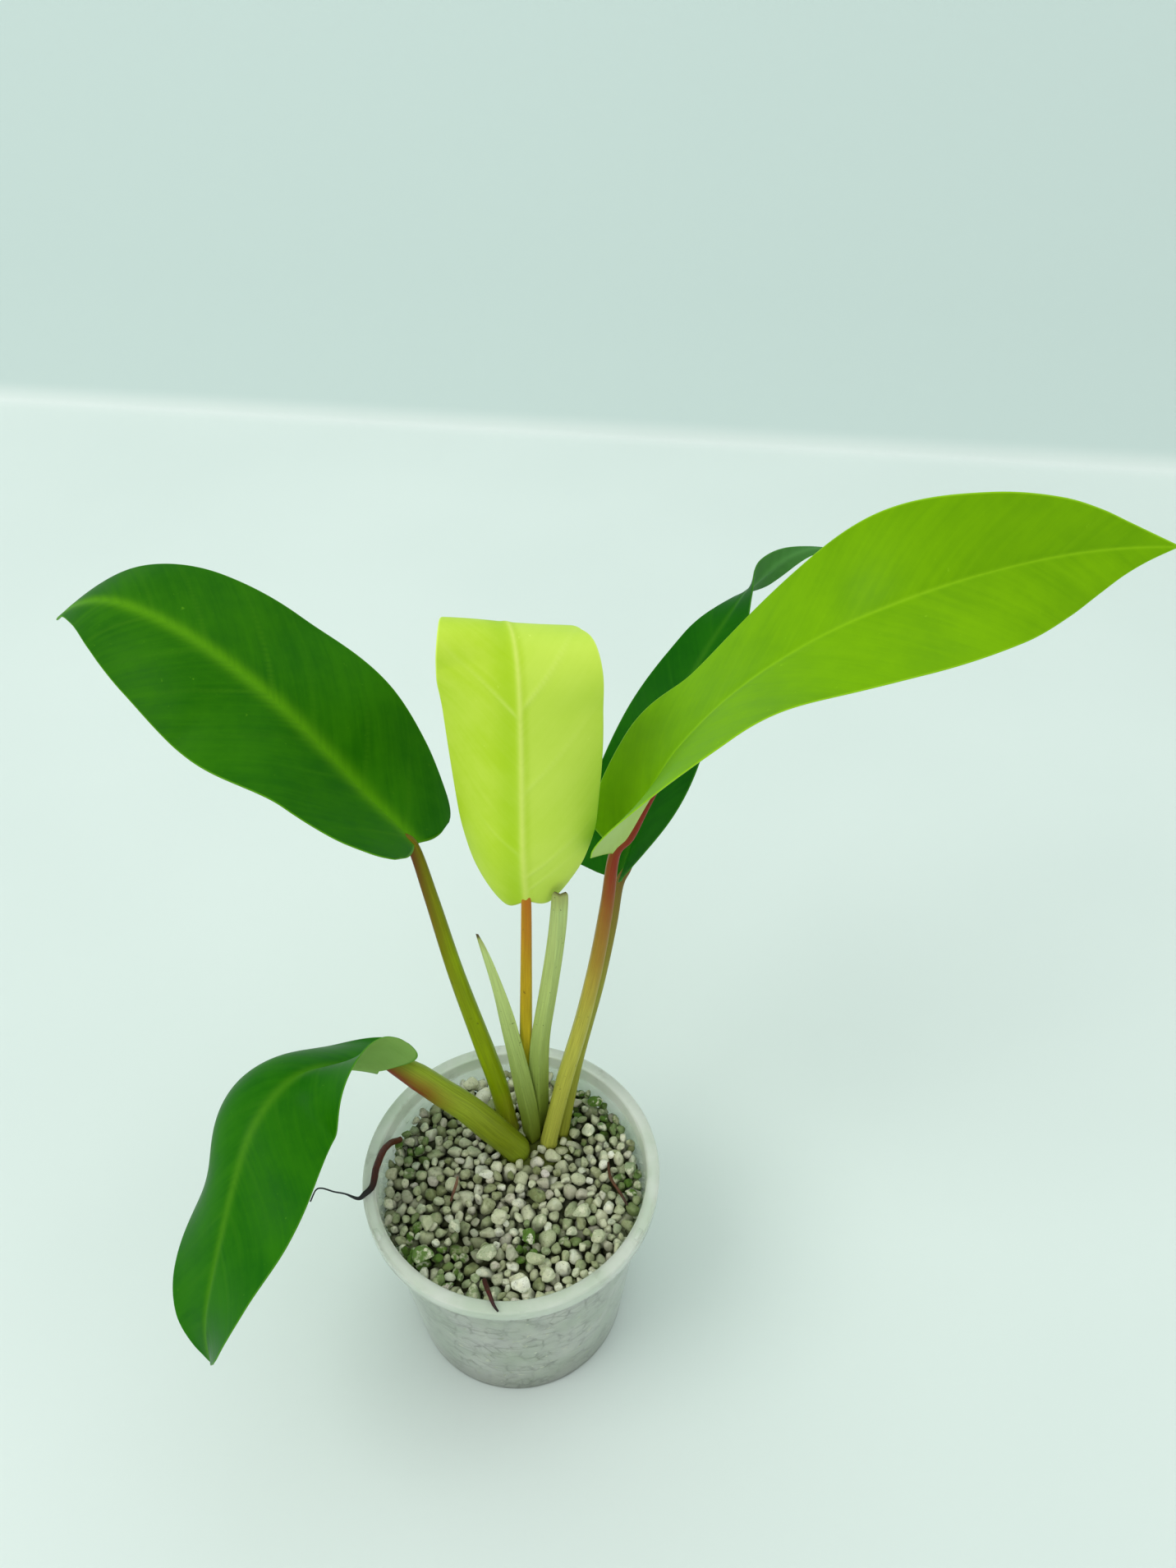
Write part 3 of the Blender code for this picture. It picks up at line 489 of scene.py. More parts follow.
def keep_run(piece, run):
    """Stores how far round and along a rod each point lies, for the grain of its skin."""
    rows = np.stack([run[:, 2] / 6.28, run[:, 1], run[:, 0] * 20], axis=1)
    keep_values(piece, "run", rows, "FLOAT_VECTOR")


def stored(tree, name, output="Fac"):
    return node(tree, "Attribute", attribute_name=name).outputs[output]


def colours_along(tree, run, steps, wander):
    """Colours that change along a piece, with borders that wander as the noise given does."""
    noise, amount = wander
    along = node(tree, "SeparateXYZ", Vector=run).outputs["Y"]
    return colour_steps(tree, plus(tree, along, from_middle(tree, noise, amount)), steps)


def shaded(tree, tint, shade):
    grey = node(tree, "CombineColor", Red=shade, Green=shade, Blue=shade).outputs["Color"]
    return blend_colours(tree, 1.0, tint, grey, "MULTIPLY")


def swept(name, route, radii, sides, facing, shape):
    """A rod along a route with rounded ends. shape(along, angle) swells or pinches its section,
    where angle 0 faces the way given. Its points keep how far along and round they are."""
    way = unit(np.gradient(route, axis=0))
    side = np.zeros_like(route)
    side[0] = unit(np.array(facing, float) - way[0] * np.dot(facing, way[0]))
    for i in range(1, len(route)):
        side[i] = unit(side[i - 1] - way[i] * np.dot(side[i - 1], way[i]))
    other = np.cross(way, side)
    run = np.concatenate([[0], np.cumsum(np.linalg.norm(np.diff(route, axis=0), axis=1))])
    angles = np.linspace(0, 2 * math.pi, sides, endpoint=False)
    leans = [math.radians(90 * turn) for turn in END_TURNS]
    rings = [(0, -radii[0] * 0.5 * math.cos(lean), math.sin(lean)) for lean in leans]
    rings += [(i, 0, 1) for i in range(len(route))]
    rings += [(len(route) - 1, radii[-1] * 0.5 * math.cos(lean), math.sin(lean))
              for lean in leans[::-1]]
    points = []
    along = []
    for i, ahead, share in rings:
        at = run[i] / run[-1]
        for angle in angles:
            reach = radii[i] * share * shape(at, angle)
            points.append(route[i] + way[i] * ahead
                          + (side[i] * math.cos(angle) + other[i] * math.sin(angle)) * reach)
            along.append((run[i] + ahead, at, angle))
    faces = []
    for ring in range(len(rings) - 1):
        low = ring * sides
        for k in range(sides):
            after = (k + 1) % sides
            faces.append((low + k, low + after, low + sides + after, low + sides + k))
    points.append(route[0] - way[0] * radii[0] * 0.5)
    points.append(route[-1] + way[-1] * radii[-1] * 0.5)
    along += [(0, 0, 0), (run[-1], 1, 0)]
    first = len(points) - 2
    last = (len(rings) - 1) * sides
    faces += [(first, (k + 1) % sides, k) for k in range(sides)]
    faces += [(first + 1, last + k, last + (k + 1) % sides) for k in range(sides)]
    piece = mesh_piece(name, points, faces)
    return piece, np.array(points), np.array(along)


def stalk_section(at, angle):
    """A stalk's section: a groove on its top with a ridge each side, fading where it clasps."""
    groove = math.exp(-(min(angle, 2 * math.pi - angle) / 0.42) ** 2)
    ridges = math.exp(-((min(angle, 2 * math.pi - angle) - 0.85) / 0.35) ** 2)
    strength = min(1, max(0, at - 0.05) / 0.25)
    clasp = 0.12 * math.exp(-at / 0.05)
    return 1 + clasp - strength * (0.2 * groove - 0.05 * ridges)


def stalk_skin(name, stalk):
    finish, tree, shader = new_finish(name, 0.42, 0.14)
    place = object_place(tree)
    run = stored(tree, "run", "Vector")
    blush = stored(tree, "blush")
    base = colours_along(tree, run, stalk["skin"], (grain_noise(tree, place, 60), 0.16))
    streaks = grain_noise(tree, stretched(tree, run, (60, 0, 3.2)), 1, 4)
    tint = shaded(tree, base, spread(tree, streaks, 0.3, 0.72, 0.8, 1.16))
    flecks = grain_noise(tree, stretched(tree, place, (700, 700, 300)), 1, 2)
    flush = times(tree, blush, spread(tree, streaks, 0.25, 0.6, 0.55, 1.0))
    tint = blend_colours(tree, flush, tint, linear(stalk["red"]))
    specks = spread(tree, flecks, 0.7, 0.76, 0.0, 0.45)
    tint = blend_colours(tree, specks, tint, linear((70, 52, 20)))
    give_look(tree, shader, tint, spread(tree, streaks, 0.3, 0.7, 0.34, 0.52))
    raise_bump(tree, shader, plus(tree, streaks, specks), 0.25, 0.0003)
    return finish


def make_stalk(name, stalk, into_rib):
    """into_rib is where the stalk runs on under its leaf, thinning into the rib."""
    points = plant_points(stalk["points"]) + [np.array(p) for p in into_rib]
    tail = [stalk["radii"][-1] * share for share in TAIL_SHARES]
    radii = [r / 1000 for r in list(stalk["radii"]) + tail]
    route, sizes = smooth_route(points, radii, STALK_RINGS)
    piece, at, run = swept(f"stalk_{name}", route, sizes, STALK_SIDES, stalk["groove"],
                           stalk_section)
    rings = np.clip(np.arange(len(at)) // STALK_SIDES - len(END_TURNS), 0, len(route) - 1)
    outward = unit(at - route[rings])
    side = np.clip(outward @ unit(stalk["blush"]) * 0.8 + 0.35, 0, 1)
    start, end = stalk["blush_run"]
    rise = np.clip((run[:, 1] - start) / (end - start), 0, 1)
    keep_values(piece, "blush", side * rise ** 1.3)
    keep_run(piece, run)
    piece.data.materials.append(stalk_skin(f"stalk_skin_{name}", stalk))
    fit(piece, f"petiole_{name}", f"petiole_{name}")
    return piece


# Leaves: five smooth, leathery blades with a strong midrib, faint side veins and a thin pale
# margin. The old leaves are dark green, the young one on the right is lime and the youngest is
# yellow-green, and each bends in its own way from the end of its stalk.
LEAF_OUTLINE = ((0, 0.5), (0.008, 0.6), (0.025, 0.7), (0.05, 0.78), (0.08, 0.84), (0.2, 0.96),
                (0.38, 1), (0.55, 0.97), (0.72, 0.8), (0.85, 0.52), (0.93, 0.22), (0.965, 0.09),
                (1, 0.02))
FULL_OUTLINE = ((0, 0.5), (0.008, 0.6), (0.025, 0.7), (0.05, 0.78), (0.08, 0.84), (0.2, 0.96),
                (0.38, 1), (0.55, 0.97), (0.72, 0.82), (0.82, 0.62), (0.88, 0.43), (0.92, 0.28),
                (0.955, 0.16), (1, 0.02))
LOBE_REACH = 0.2
LOBE_CREST = 0.64
LEAF_ROWS = 210
LEAF_COLUMNS = 64
BLADE = 0.00055
RIB_DEPTH = 0.0013
RIB_HALF_WIDTH = 0.0019
MIDRIB_STEPS = 400
RIB_TAIL = ((8, 1.0), (22, 0.8), (42, 0.55))
LEAF_MARKS = ("rib_band", "side_vein", "edge", "depth")
# deep and pale are the colours of painted shade and painted light on a leaf's halves.
LEAF_TINTS = ("dark", "fresh", "deep", "pale", "rib", "vein", "margin")
UNDER_LIGHTER = (0, 12, 0, 12, 24, 18)
MARGIN_LIGHTER = 26
LEAVES = {
    "upper_left": dict(
        start=(-31, 55, 123), length=166, width=69, lobe=3, fullness=0.8,
        stations=(0, 0.25, 0.5, 0.75, 0.92, 1),
        pitch=(30, 45, 30, 5, -30, -45), heading=(145, 155, 155, 155, 160, 155),
        roll=(15, -5, -10, -15, -10, 0),
        fold_left=(20, 15, -5, -5, -5, 0), fold_right=(0, 15, 5, 5, 0, -5),
        curl_left=(5, 10, -20, -20, -15, -5), curl_right=(-10, -10, -20, -15, -10, -10),
        outline=LEAF_OUTLINE, dark=(30, 98, 0), fresh=(48, 116, 0), rib=(84, 148, 8), band=7,
        vein=(70, 132, 12), under=(96, 140, 62),
        rib_rise=-0.00025, side_veins=0.00014, gloss=0.05),
    "centre": dict(
        start=(8, 31, 121), length=138, width=52, lobe=8, fullness=1.1,
        stations=(0, 0.25, 0.5, 0.64, 0.72, 0.82, 1),
        pitch=(105, 80, 75, 45, 0, -60, -100), heading=(90, 85, 90, 100, 105, 110, 120),
        roll=(5, 5, 5, 0, 5, 5, 0),
        fold_left=(-5, -5, -5, 0, 10, 12, 5), fold_right=(-10, -5, -5, 0, -5, -10, -10),
        curl_left=(-65, -50, -40, -25, -15, 0, 5), curl_right=(-30, -30, -15, 0, 0, 0, 0),
        outline=LEAF_OUTLINE, dark=(184, 220, 44), fresh=(198, 228, 74), rib=(212, 234, 104),
        band=2.2, vein=(218, 240, 118), under=(196, 220, 90),
        # Painted shade on the left half beside the rib, painted light over the right half.
        deep=(162, 206, 18), pale=(208, 236, 98), painted_half_light=(0.5, 0.5),
        vein_marks=((-1, 0.04, 0.8), (-1, 0.093, 1), (-1, 0.33, 0.7), (-1, 0.53, 1),
                    (1, 0.16, 0.35), (1, 0.51, 0.9)),
        rib_rise=0.0005, side_veins=0.00034, gloss=0.12),
    "right_front": dict(
        start=(37, 41, 133), length=202, width=56, lobe=0, fullness=1.2,
        stations=(0, 0.14, 0.3, 0.5, 0.75, 1),
        pitch=(60, 65, 40, 30, 15, 5), heading=(25, 15, 20, 5, 5, -10),
        roll=(-15, -5, -15, 10, 50, 80),
        fold_left=(25, 10, 0, 5, 20, 5), fold_right=(55, 35, 10, 5, 15, 5),
        curl_left=(0, 5, 0, 0, 5, -5), curl_right=(-5, 0, 0, 5, 0, -10),
        outline=FULL_OUTLINE, dark=(106, 162, 0), fresh=(122, 178, 0), rib=(134, 188, 14),
        band=1.7, vein=(124, 178, 8), under=(164, 194, 104),
        rib_rise=-0.0002, side_veins=0.00008, gloss=0.06),
    "right_back": dict(
        start=(40, 70.5, 88.5), length=171, width=48, lobe=0, fullness=0.3,
        stations=(0, 0.3, 0.55, 0.68, 0.76, 0.84, 1),
        pitch=(45, 50, 35, 30, 20, 0, -30), heading=(65, 60, 50, 45, 35, 35, 25),
        roll=(-45, -15, -10, -45, -100, -135, -200),
        fold_left=(20, 15, 0, 5, 5, 0, 0), fold_right=(30, 10, -5, 0, 5, 5, 10),
        curl_left=(0,) * 7, curl_right=(0,) * 7,
        outline=LEAF_OUTLINE, dark=(10, 84, 0), fresh=(26, 100, 0), rib=(46, 112, 10), band=3.5,
        vein=(38, 106, 8), under=(50, 110, 36),
        rib_rise=-0.00025, side_veins=0.00012, gloss=0.05),
    "lower_left": dict(
        start=(-45, 9, 57), length=134, width=53, lobe=12, fullness=1.2,
        stations=(0, 0.12, 0.28, 0.5, 0.75, 1),
        pitch=(15, 20, -5, -35, -45, -90), heading=(175, 200, 235, 255, 255, 270),
        roll=(30, 15, -10, 10, 25, 25),
        fold_left=(95, 45, 5, -5, 5, 30), fold_right=(45, 5, -5, -5, 5, -5),
        curl_left=(-25, -20, -25, -15, 5, 30), curl_right=(-25, -45, -65, -60, -20, 30),
        short_tail=(0.1, 0.2, 0.3),
        outline=LEAF_OUTLINE, dark=(20, 96, 0), fresh=(40, 114, 0), rib=(66, 130, 14), band=4,
        vein=(54, 122, 10), under=(114, 156, 68),
        rib_rise=-0.00025, side_veins=0.00012, gloss=0.06),
}


def smooth_through(stations, values, at):
    """Reads a curve through the values at the stations that never overshoots between them."""
    x = np.asarray(stations, float)
    y = np.asarray(values, float)
    at = np.clip(np.asarray(at, float), x[0], x[-1])
    step = np.diff(x)
    rise = np.diff(y) / step
    slope = np.zeros(len(x))
    for i in range(1, len(x) - 1):
        if rise[i - 1] * rise[i] > 0:
            before = 2 * step[i] + step[i - 1]
            after = step[i] + 2 * step[i - 1]
            slope[i] = (before + after) / (before / rise[i - 1] + after / rise[i])
    slope[0] = rise[0]
    slope[-1] = rise[-1]
    k = np.clip(np.searchsorted(x, at, side="right") - 1, 0, len(x) - 2)
    s = (at - x[k]) / step[k]
    start = (1 + 2 * s) * (1 - s) ** 2 * y[k] + s * (1 - s) ** 2 * step[k] * slope[k]
    end = s ** 2 * (3 - 2 * s) * y[k + 1] + s ** 2 * (s - 1) * step[k] * slope[k + 1]
    return start + end


def leaf_surface(leaf, t, v):
    """The leaf's middle surface at rows t and columns v, with each point's way across it in
    metres off the midrib, and the distance to the margin."""
    length = leaf["length"] / 1000
    half_width = leaf["width"] / 2000
    fine = np.linspace(0, 1, MIDRIB_STEPS + 1)

    def angle(name, at):
        return np.radians(smooth_through(leaf["stations"], leaf[name], at))

    pitch = angle("pitch", fine)
    heading = angle("heading", fine)
    roll = angle("roll", fine)
    along = np.stack([np.cos(pitch) * np.cos(heading), np.cos(pitch) * np.sin(heading),
                      np.sin(pitch)], axis=1)
    level_side = np.stack([-np.sin(heading), np.cos(heading), 0 * heading], axis=1)
    level_up = np.cross(along, level_side)
    side = level_side * np.cos(roll)[:, None] + level_up * np.sin(roll)[:, None]
    up = level_up * np.cos(roll)[:, None] - level_side * np.sin(roll)[:, None]
    steps = (along[1:] + along[:-1]) / 2 * length / MIDRIB_STEPS
    midrib = np.vstack([[0, 0, 0], np.cumsum(steps, axis=0)]) + plant_points([leaf["start"]])[0]

    marks = range(MIDRIB_STEPS + 1)
    widths = half_width * smooth_through(*zip(*leaf["outline"]), t ** leaf["fullness"])
    points = np.zeros((len(t), len(v), 3))
    runs = np.zeros((len(t), len(v)))
    for j, across in enumerate(v):
        hand = "left" if across >= 0 else "right"
        fold = angle(f"fold_{hand}", t)
        curl = angle(f"curl_{hand}", t)
        curl = np.where(abs(curl) < 1e-4, 1e-4, curl)
        bend = curl * abs(across)
        out = widths * (np.sin(fold + bend) - np.sin(fold)) / curl * np.sign(across)
        lift = widths * (np.cos(fold) - np.cos(fold + bend)) / curl
        back = leaf["lobe"] / 1000 * math.sin(math.pi / 2 * abs(across) / LOBE_CREST)
        run = t * length - back * np.clip(1 - t / LOBE_REACH, 0, 1) ** 2
        k = np.clip(run / length, 0, 1) * MIDRIB_STEPS
        for axis in range(3):
            centre = np.interp(k, marks, midrib[:, axis]) + along[0, axis] * np.minimum(run, 0)
            sideways = np.interp(k, marks, side[:, axis])
            upward = np.interp(k, marks, up[:, axis])
            points[:, j, axis] = centre + sideways * out + upward * lift
        runs[:, j] = run
    offs = widths[:, None] * v[None, :]
    margin = widths[:, None] - abs(offs)
    return points, runs, offs, margin


def closer_at_ends(count, power=0.75):
    """Steps from -1 to 1 that lie closer at the midrib and at the margins."""
    even = np.linspace(-1, 1, count + 1)
    eased = np.sign(even) * (0.5 - 0.5 * np.cos(math.pi * abs(even)))
    return (1 - power) * even + power * eased


def vein_strength(leaf, runs, offs, seed):
    """Soft side veins that leave the rib and sweep forwards: the few the leaf is known for, or
    an even run of faint ones."""
    pick = np.random.default_rng(seed)
    strength = np.zeros_like(runs)
    length = leaf["length"] / 1000
    marks = leaf.get("vein_marks")
    if marks is None:
        marks = [(hand, start + pick.uniform(-0.03, 0.03), pick.uniform(0.35, 1.0))
                 for hand in (-1, 1) for start in np.arange(0.04, 0.9, 0.13)]
    reach = abs(offs)
    far = reach / (leaf["width"] / 2000)
    for hand, start, power in marks:
        here = np.sign(offs + 1e-9) == hand
        path = start * length + (0.62 + 1.1 * min(start, 0.45)) * reach + 6.0 * reach ** 2
        line = np.exp(-((runs - path) / 0.00085) ** 2)
        strength += here * line * power * np.clip(0.95 - far, 0, 1) * np.clip(far * 12, 0, 1)
    return strength


def leaf_skin(name, tints, roughness, gloss, relief):
    """Mottled green tissue with fine streaks along the veins, a rib band and a thin margin."""
    finish, tree, shader = new_finish(name, roughness, gloss)
    dark, fresh, deep, pale, rib, vein, margin = (linear(tints[kind]) for kind in LEAF_TINTS)
    place = object_place(tree)
    course = stored(tree, "course", "Vector")
    rib_band, side_vein, edge, depth = (stored(tree, mark) for mark in LEAF_MARKS)
    streaks = grain_noise(tree, stretched(tree, course, (420, 60, 0)), 1, 5, 0.6)
    wide = grain_noise(tree, stretched(tree, course, (90, 30, 0)), 1, 3, 0.5)
    cloud = grain_noise(tree, place, 45, 4, 0.65)
    mixed = plus(tree, times(tree, streaks, 0.25), times(tree, wide, 0.25))
    mixed = plus(tree, mixed, times(tree, cloud, 0.5))
    tint = blend_colours(tree, spread(tree, mixed, 0.34, 0.66), dark, fresh)
    # Painted shade towards deep where depth is above 0, painted light towards pale where it is
    # below 0.
    tint = blend_colours(tree, spread(tree, depth, 0.0, 1.0), tint, deep)
    tint = blend_colours(tree, spread(tree, depth, -1.0, 0.0, 1.0, 0.0), tint, pale)
    flecks = spread(tree, grain_noise(tree, place, 420, 3), 0.7, 0.78, 0.0, 0.35)
    tint = blend_colours(tree, flecks, tint, margin)
    rib_share = times(tree, rib_band, spread(tree, streaks, 0.2, 0.7, 0.7, 1.0))
    tint = blend_colours(tree, rib_share, tint, rib)
    tint = blend_colours(tree, times(tree, side_vein, 0.6), tint, vein)
    rim = spread(tree, edge, 0.0001, 0.0006, 0.6, 0.0)
    matt = spread(tree, mixed, 0.35, 0.65, roughness - 0.06, roughness + 0.08)
    give_look(tree, shader, blend_colours(tree, rim, tint, margin), matt)
    pores = grain_noise(tree, place, 2600, 2)
    height = plus(tree, times(tree, streaks, 0.8), times(tree, pores, 0.25))
    raise_bump(tree, shader, height, relief, 0.00025)
    return finish


def shell_faces(rows, columns):
    """Faces of the top and the bottom of a sheet and of the strip round its edge."""
    wide = columns + 1
    under = (rows + 1) * wide
    top = []
    bottom = []
    for i in range(rows):
        for j in range(columns):
            a = i * wide + j
            top.append((a, a + wide, a + wide + 1, a + 1))
            bottom.append((under + a, under + a + 1, under + a + wide + 1, under + a + wide))
    loop = [j for j in range(columns)] + [i * wide + columns for i in range(rows)]
    loop += [rows * wide + j for j in range(columns, 0, -1)]
    loop += [i * wide for i in range(rows, 0, -1)]
    strip = [(a, b, under + b, under + a) for a, b in zip(loop, loop[1:] + loop[:1])]
    return top, bottom, strip


def leaf_mesh(name, points, over, below):
    """Closes a sheet: over and below are how far each side stands off its middle surface."""
    rows, columns = points.shape[0] - 1, points.shape[1] - 1
    normal = unit(np.cross(np.gradient(points, axis=0), np.gradient(points, axis=1)))
    upper = points + normal * over[..., None]
    lower = points - normal * below[..., None]
    top, bottom, strip = shell_faces(rows, columns)
    piece = mesh_piece(name, np.concatenate([upper.reshape(-1, 3), lower.reshape(-1, 3)]),
                       top + bottom + strip)
    bottoms = [len(top) <= index < len(top) + len(bottom)
               for index in range(len(piece.data.polygons))]
    piece.data.polygons.foreach_set("material_index", np.array(bottoms, np.int32))
    return piece


def make_leaf(number, name, leaf):
    t = np.linspace(0, 1, LEAF_ROWS + 1)
    t = t - 0.06 * np.sin(2 * math.pi * t) / (2 * math.pi)
    v = closer_at_ends(LEAF_COLUMNS)
    points, runs, offs, margin = leaf_surface(leaf, t, v)
    veins = vein_strength(leaf, runs, offs, 20 + number)
    taper = 1 - 0.75 * t[:, None]
    rib_half = RIB_HALF_WIDTH * (0.45 + 0.55 * taper)
    ridge = np.exp(-(offs / rib_half) ** 2)
    end = np.minimum(t, 1 - t)[:, None] * leaf["length"] / 1000
    edge = np.clip(np.minimum(margin, end + 0.0001) / 0.0007, 0, 1)
    rounding = np.sqrt(1 - (1 - edge) ** 2) * 0.7 + 0.3
    quilt = np.array([[lumps(Vector((runs[i, j] * 55, offs[i, j] * 40, number * 7.3)))
                       for j in range(len(v))] for i in range(len(t))])
    lift = quilt * 0.0004 * np.clip(margin / 0.01, 0, 1)
    crown_rib = leaf["rib_rise"] * ridge * (0.4 + 0.6 * taper) - leaf["side_veins"] * veins
    if leaf["rib_rise"] > 0:
        crown_rib += 2 * leaf["side_veins"] * veins
    over = BLADE / 2 * rounding + crown_rib + lift
    below = BLADE / 2 * rounding + RIB_DEPTH * ridge * taper + leaf["side_veins"] * veins - lift
    piece = leaf_mesh(f"leaf_{name}", points, over, below)
    band = leaf["band"] / 2000 * (0.35 + 0.65 * taper) + 0 * offs
    rib_band = np.exp(-(offs / band) ** 2)
    reach = abs(offs)
    course = np.stack([runs - reach * 1.05 - 6 * reach ** 2, offs, 0 * offs], axis=-1)
    # Painted light and shade on the halves: darker beside the rib on the left, paler over the
    # right.
    left, right = leaf.get("painted_half_light", (0, 0))
    deep = left * np.exp(-((offs - 0.003) / 0.006) ** 2) * (offs > 0)
    deep = deep - right * np.clip(-offs / 0.003, 0, 1)
    for kind, values in zip(LEAF_MARKS, (rib_band, veins, np.minimum(margin, end), deep)):
        keep_values(piece, kind, np.concatenate([values.ravel(), values.ravel()]))
    keep_values(piece, "course", np.concatenate([course.reshape(-1, 3)] * 2), "FLOAT_VECTOR")
    pale_margin = tuple(c + MARGIN_LIGHTER for c in leaf["rib"])
    top = dict(dict(deep=leaf["dark"], pale=leaf["fresh"], margin=pale_margin), **leaf)
    under = {kind: tuple(c + more for c in leaf["under"])
             for kind, more in zip(LEAF_TINTS, UNDER_LIGHTER)}
    under["margin"] = pale_margin
    piece.data.materials.append(leaf_skin(f"leaf_top_{name}", top, 0.42, leaf["gloss"], 0.2))
    piece.data.materials.append(leaf_skin(f"leaf_under_{name}", under, 0.55, 0.2, 0.3))
    fit(piece, f"blade_{name}", f"blade_{name}")
    return points


for number, (name, leaf) in enumerate(LEAVES.items()):
    sheet = make_leaf(number, name, leaf)
    middle = LEAF_COLUMNS // 2
    normal = unit(np.cross(np.gradient(sheet, axis=0), np.gradient(sheet, axis=1)))
    size = STALKS[name]["radii"][-1] / 1000
    rib_route = [sheet[row, middle] - normal[row, middle] * size * drop for row, drop in RIB_TAIL]
    if "short_tail" in leaf:
        stalk_end = plant_points(STALKS[name]["points"][-1:])[0]
        rib_route = [stalk_end + (sheet[0, middle] - stalk_end) * share
                     for share in leaf["short_tail"]]
    make_stalk(name, STALKS[name], rib_route)


# Leaf scales: two narrow, keeled scales that once wrapped a young leaf. They stand on the crown
# among the stalks, thin and pale green, with fine lines and dark specks. The left one is pointed
# and the right one ends bluntly, and both are dry and brown at the very tip.
POINTED_SCALE = ((0, 0.9), (0.25, 1), (0.6, 0.95), (0.85, 0.6), (0.96, 0.3), (1, 0.12))
BLUNT_SCALE = ((0, 0.9), (0.25, 1), (0.6, 0.95), (0.92, 0.8), (0.985, 0.72), (1, 0.5))
SCALE_ROWS = 120
SCALE_COLUMNS = 26
SCALE_SECTION = dict(width=9, lobe=0, fullness=1, fold_left=(35, 35, 40, 40, 35),
                     fold_right=(35, 35, 40, 40, 35), curl_left=(0,) * 5, curl_right=(0,) * 5)
SCALES = {
    "left": dict(
        SCALE_SECTION, start=(6.8, 16.6, -2.5), length=107, outline=POINTED_SCALE,
        stations=(0, 0.25, 0.5, 0.75, 1),
        pitch=(88, 80, 77, 74, 73), heading=(137, 137, 138, 133, 138),
        roll=(133, 130, 120, 110, 105)),
    "right": dict(
        SCALE_SECTION, start=(9.6, 20.8, -2.5), length=127, outline=BLUNT_SCALE,
        stations=(0, 0.3, 0.5, 0.75, 1),
        pitch=(90, 86, 77, 82, 88), heading=(60, 58, 48, 38, 30),
        roll=(-150, -145, -130, -120, -120)),
}
SCALE_GREENS = ((0.0, (98, 112, 24)), (0.16, (118, 138, 50)), (0.35, (152, 174, 88)),
                (0.6, (178, 200, 116)), (0.92, (186, 208, 128)), (0.985, (168, 180, 104)),
                (1.0, (84, 72, 40)))


def scale_skin():
    finish, tree, shader = new_finish("leaf_scale_skin", 0.5, 0.16)
    place = object_place(tree)
    run = stored(tree, "run", "Vector")
    base = colours_along(tree, run, SCALE_GREENS, (grain_noise(tree, place, 90), 0.06))
    lines = grain_noise(tree, stretched(tree, run, (2200, 6, 0)), 1, 3)
    tint = shaded(tree, base, spread(tree, lines, 0.3, 0.7, 0.86, 1.1))
    specks = spread(tree, grain_noise(tree, place, 900, 2), 0.69, 0.74, 0.0, 0.75)
    tint = blend_colours(tree, specks, tint, linear((74, 92, 40)))
    give_look(tree, shader, tint, spread(tree, lines, 0.3, 0.7, 0.42, 0.6))
    raise_bump(tree, shader, lines, 0.35, 0.0002)
    return finish


def make_scale(name, leaf, skin):
    t = np.linspace(0, 1, SCALE_ROWS + 1)
    v = closer_at_ends(SCALE_COLUMNS, 0.4)
    points, runs, offs, margin = leaf_surface(leaf, t, v)
    thin = 0.0003 + 0.0005 * np.exp(-(offs / 0.0012) ** 2) * (1 - 0.6 * t[:, None])
    thin = thin * np.clip(0.35 + margin / 0.001, 0.35, 1)
    piece = leaf_mesh(f"leaf_scale_{name}", points, thin / 2, thin / 2)
    run = np.stack([offs, np.repeat(t[:, None], len(v), axis=1), runs], axis=-1).reshape(-1, 3)
    keep_values(piece, "run", np.concatenate([run, run]), "FLOAT_VECTOR")
    piece.data.materials.append(skin)
    piece.data.materials.append(skin)
    fit(piece, "sheath", f"sheath_{name}")


scale_finish = scale_skin()
for name, leaf in SCALES.items():
    make_scale(name, leaf, scale_finish)


# Wall roots: four brown roots, as thick as a string, that leave the crown under the pumice and
# turn along the inside of the pot. They show as dim lines through the frosted wall.
WALL_ROOT_RADIUS = 0.0011
ROOT_GAP = 0.0006
WALL_ROOTS = {
    "front": ((-112, -16, 0), (-114, -12, 0.6), (-106, -11, 1), (-96, -8, 1), (-86, -9, 1),
              (-75, -7, 1), (-60, -13, 1), (-45, -20, 1)),
    "left": ((-165, -18, 0), (-160, -32, 0.6), (-145, -49, 1), (-125, -54, 1),
             (-110, -48, 1), (-98, -39, 1), (-90, -34, 1)),
    "right": ((-15, -14, 0), (-12, -11, 0.6), (-22, -10, 1), (-32, -15, 1), (-42, -23, 1),
              (-50, -28, 1)),
    "low": ((150, -20, 0), (165, -48, 0.6), (185, -63, 1), (205, -73, 1), (225, -78, 1),
            (243, -79, 1)),
}
ROOT_BROWNS = {
    "wall": ((0.0, (150, 128, 88)), (0.5, (112, 78, 54)), (1.0, (78, 50, 38))),
    "rim": ((0.0, (92, 44, 24)), (0.3, (84, 36, 22)), (0.46, (58, 20, 14)), (0.52, (30, 22, 22)),
            (0.7, (44, 52, 58)), (1.0, (26, 28, 30))),
    "front": ((0.0, (58, 20, 14)), (0.6, (74, 14, 12)), (1.0, (22, 12, 10))),
    "right": ((0.0, (74, 46, 26)), (0.5, (96, 60, 34)), (1.0, (60, 36, 22))),
    "left": ((0.0, (150, 112, 92)), (0.5, (124, 84, 62)), (1.0, (92, 58, 40))),
}


def crown_reach(angle, z):
    """How far the crown's side is from its middle, at a compass angle and a height."""
    drop = min(0.95, max(0, CROWN_MIDDLE - z) / (CROWN_HEIGHT * (1 - CROWN_SHOULDER)))
    across = math.hypot(math.cos(angle) / (CROWN_WIDTH / 2), math.sin(angle) / (CROWN_DEPTH / 2))
    return math.sqrt(1 - drop ** 2) / across


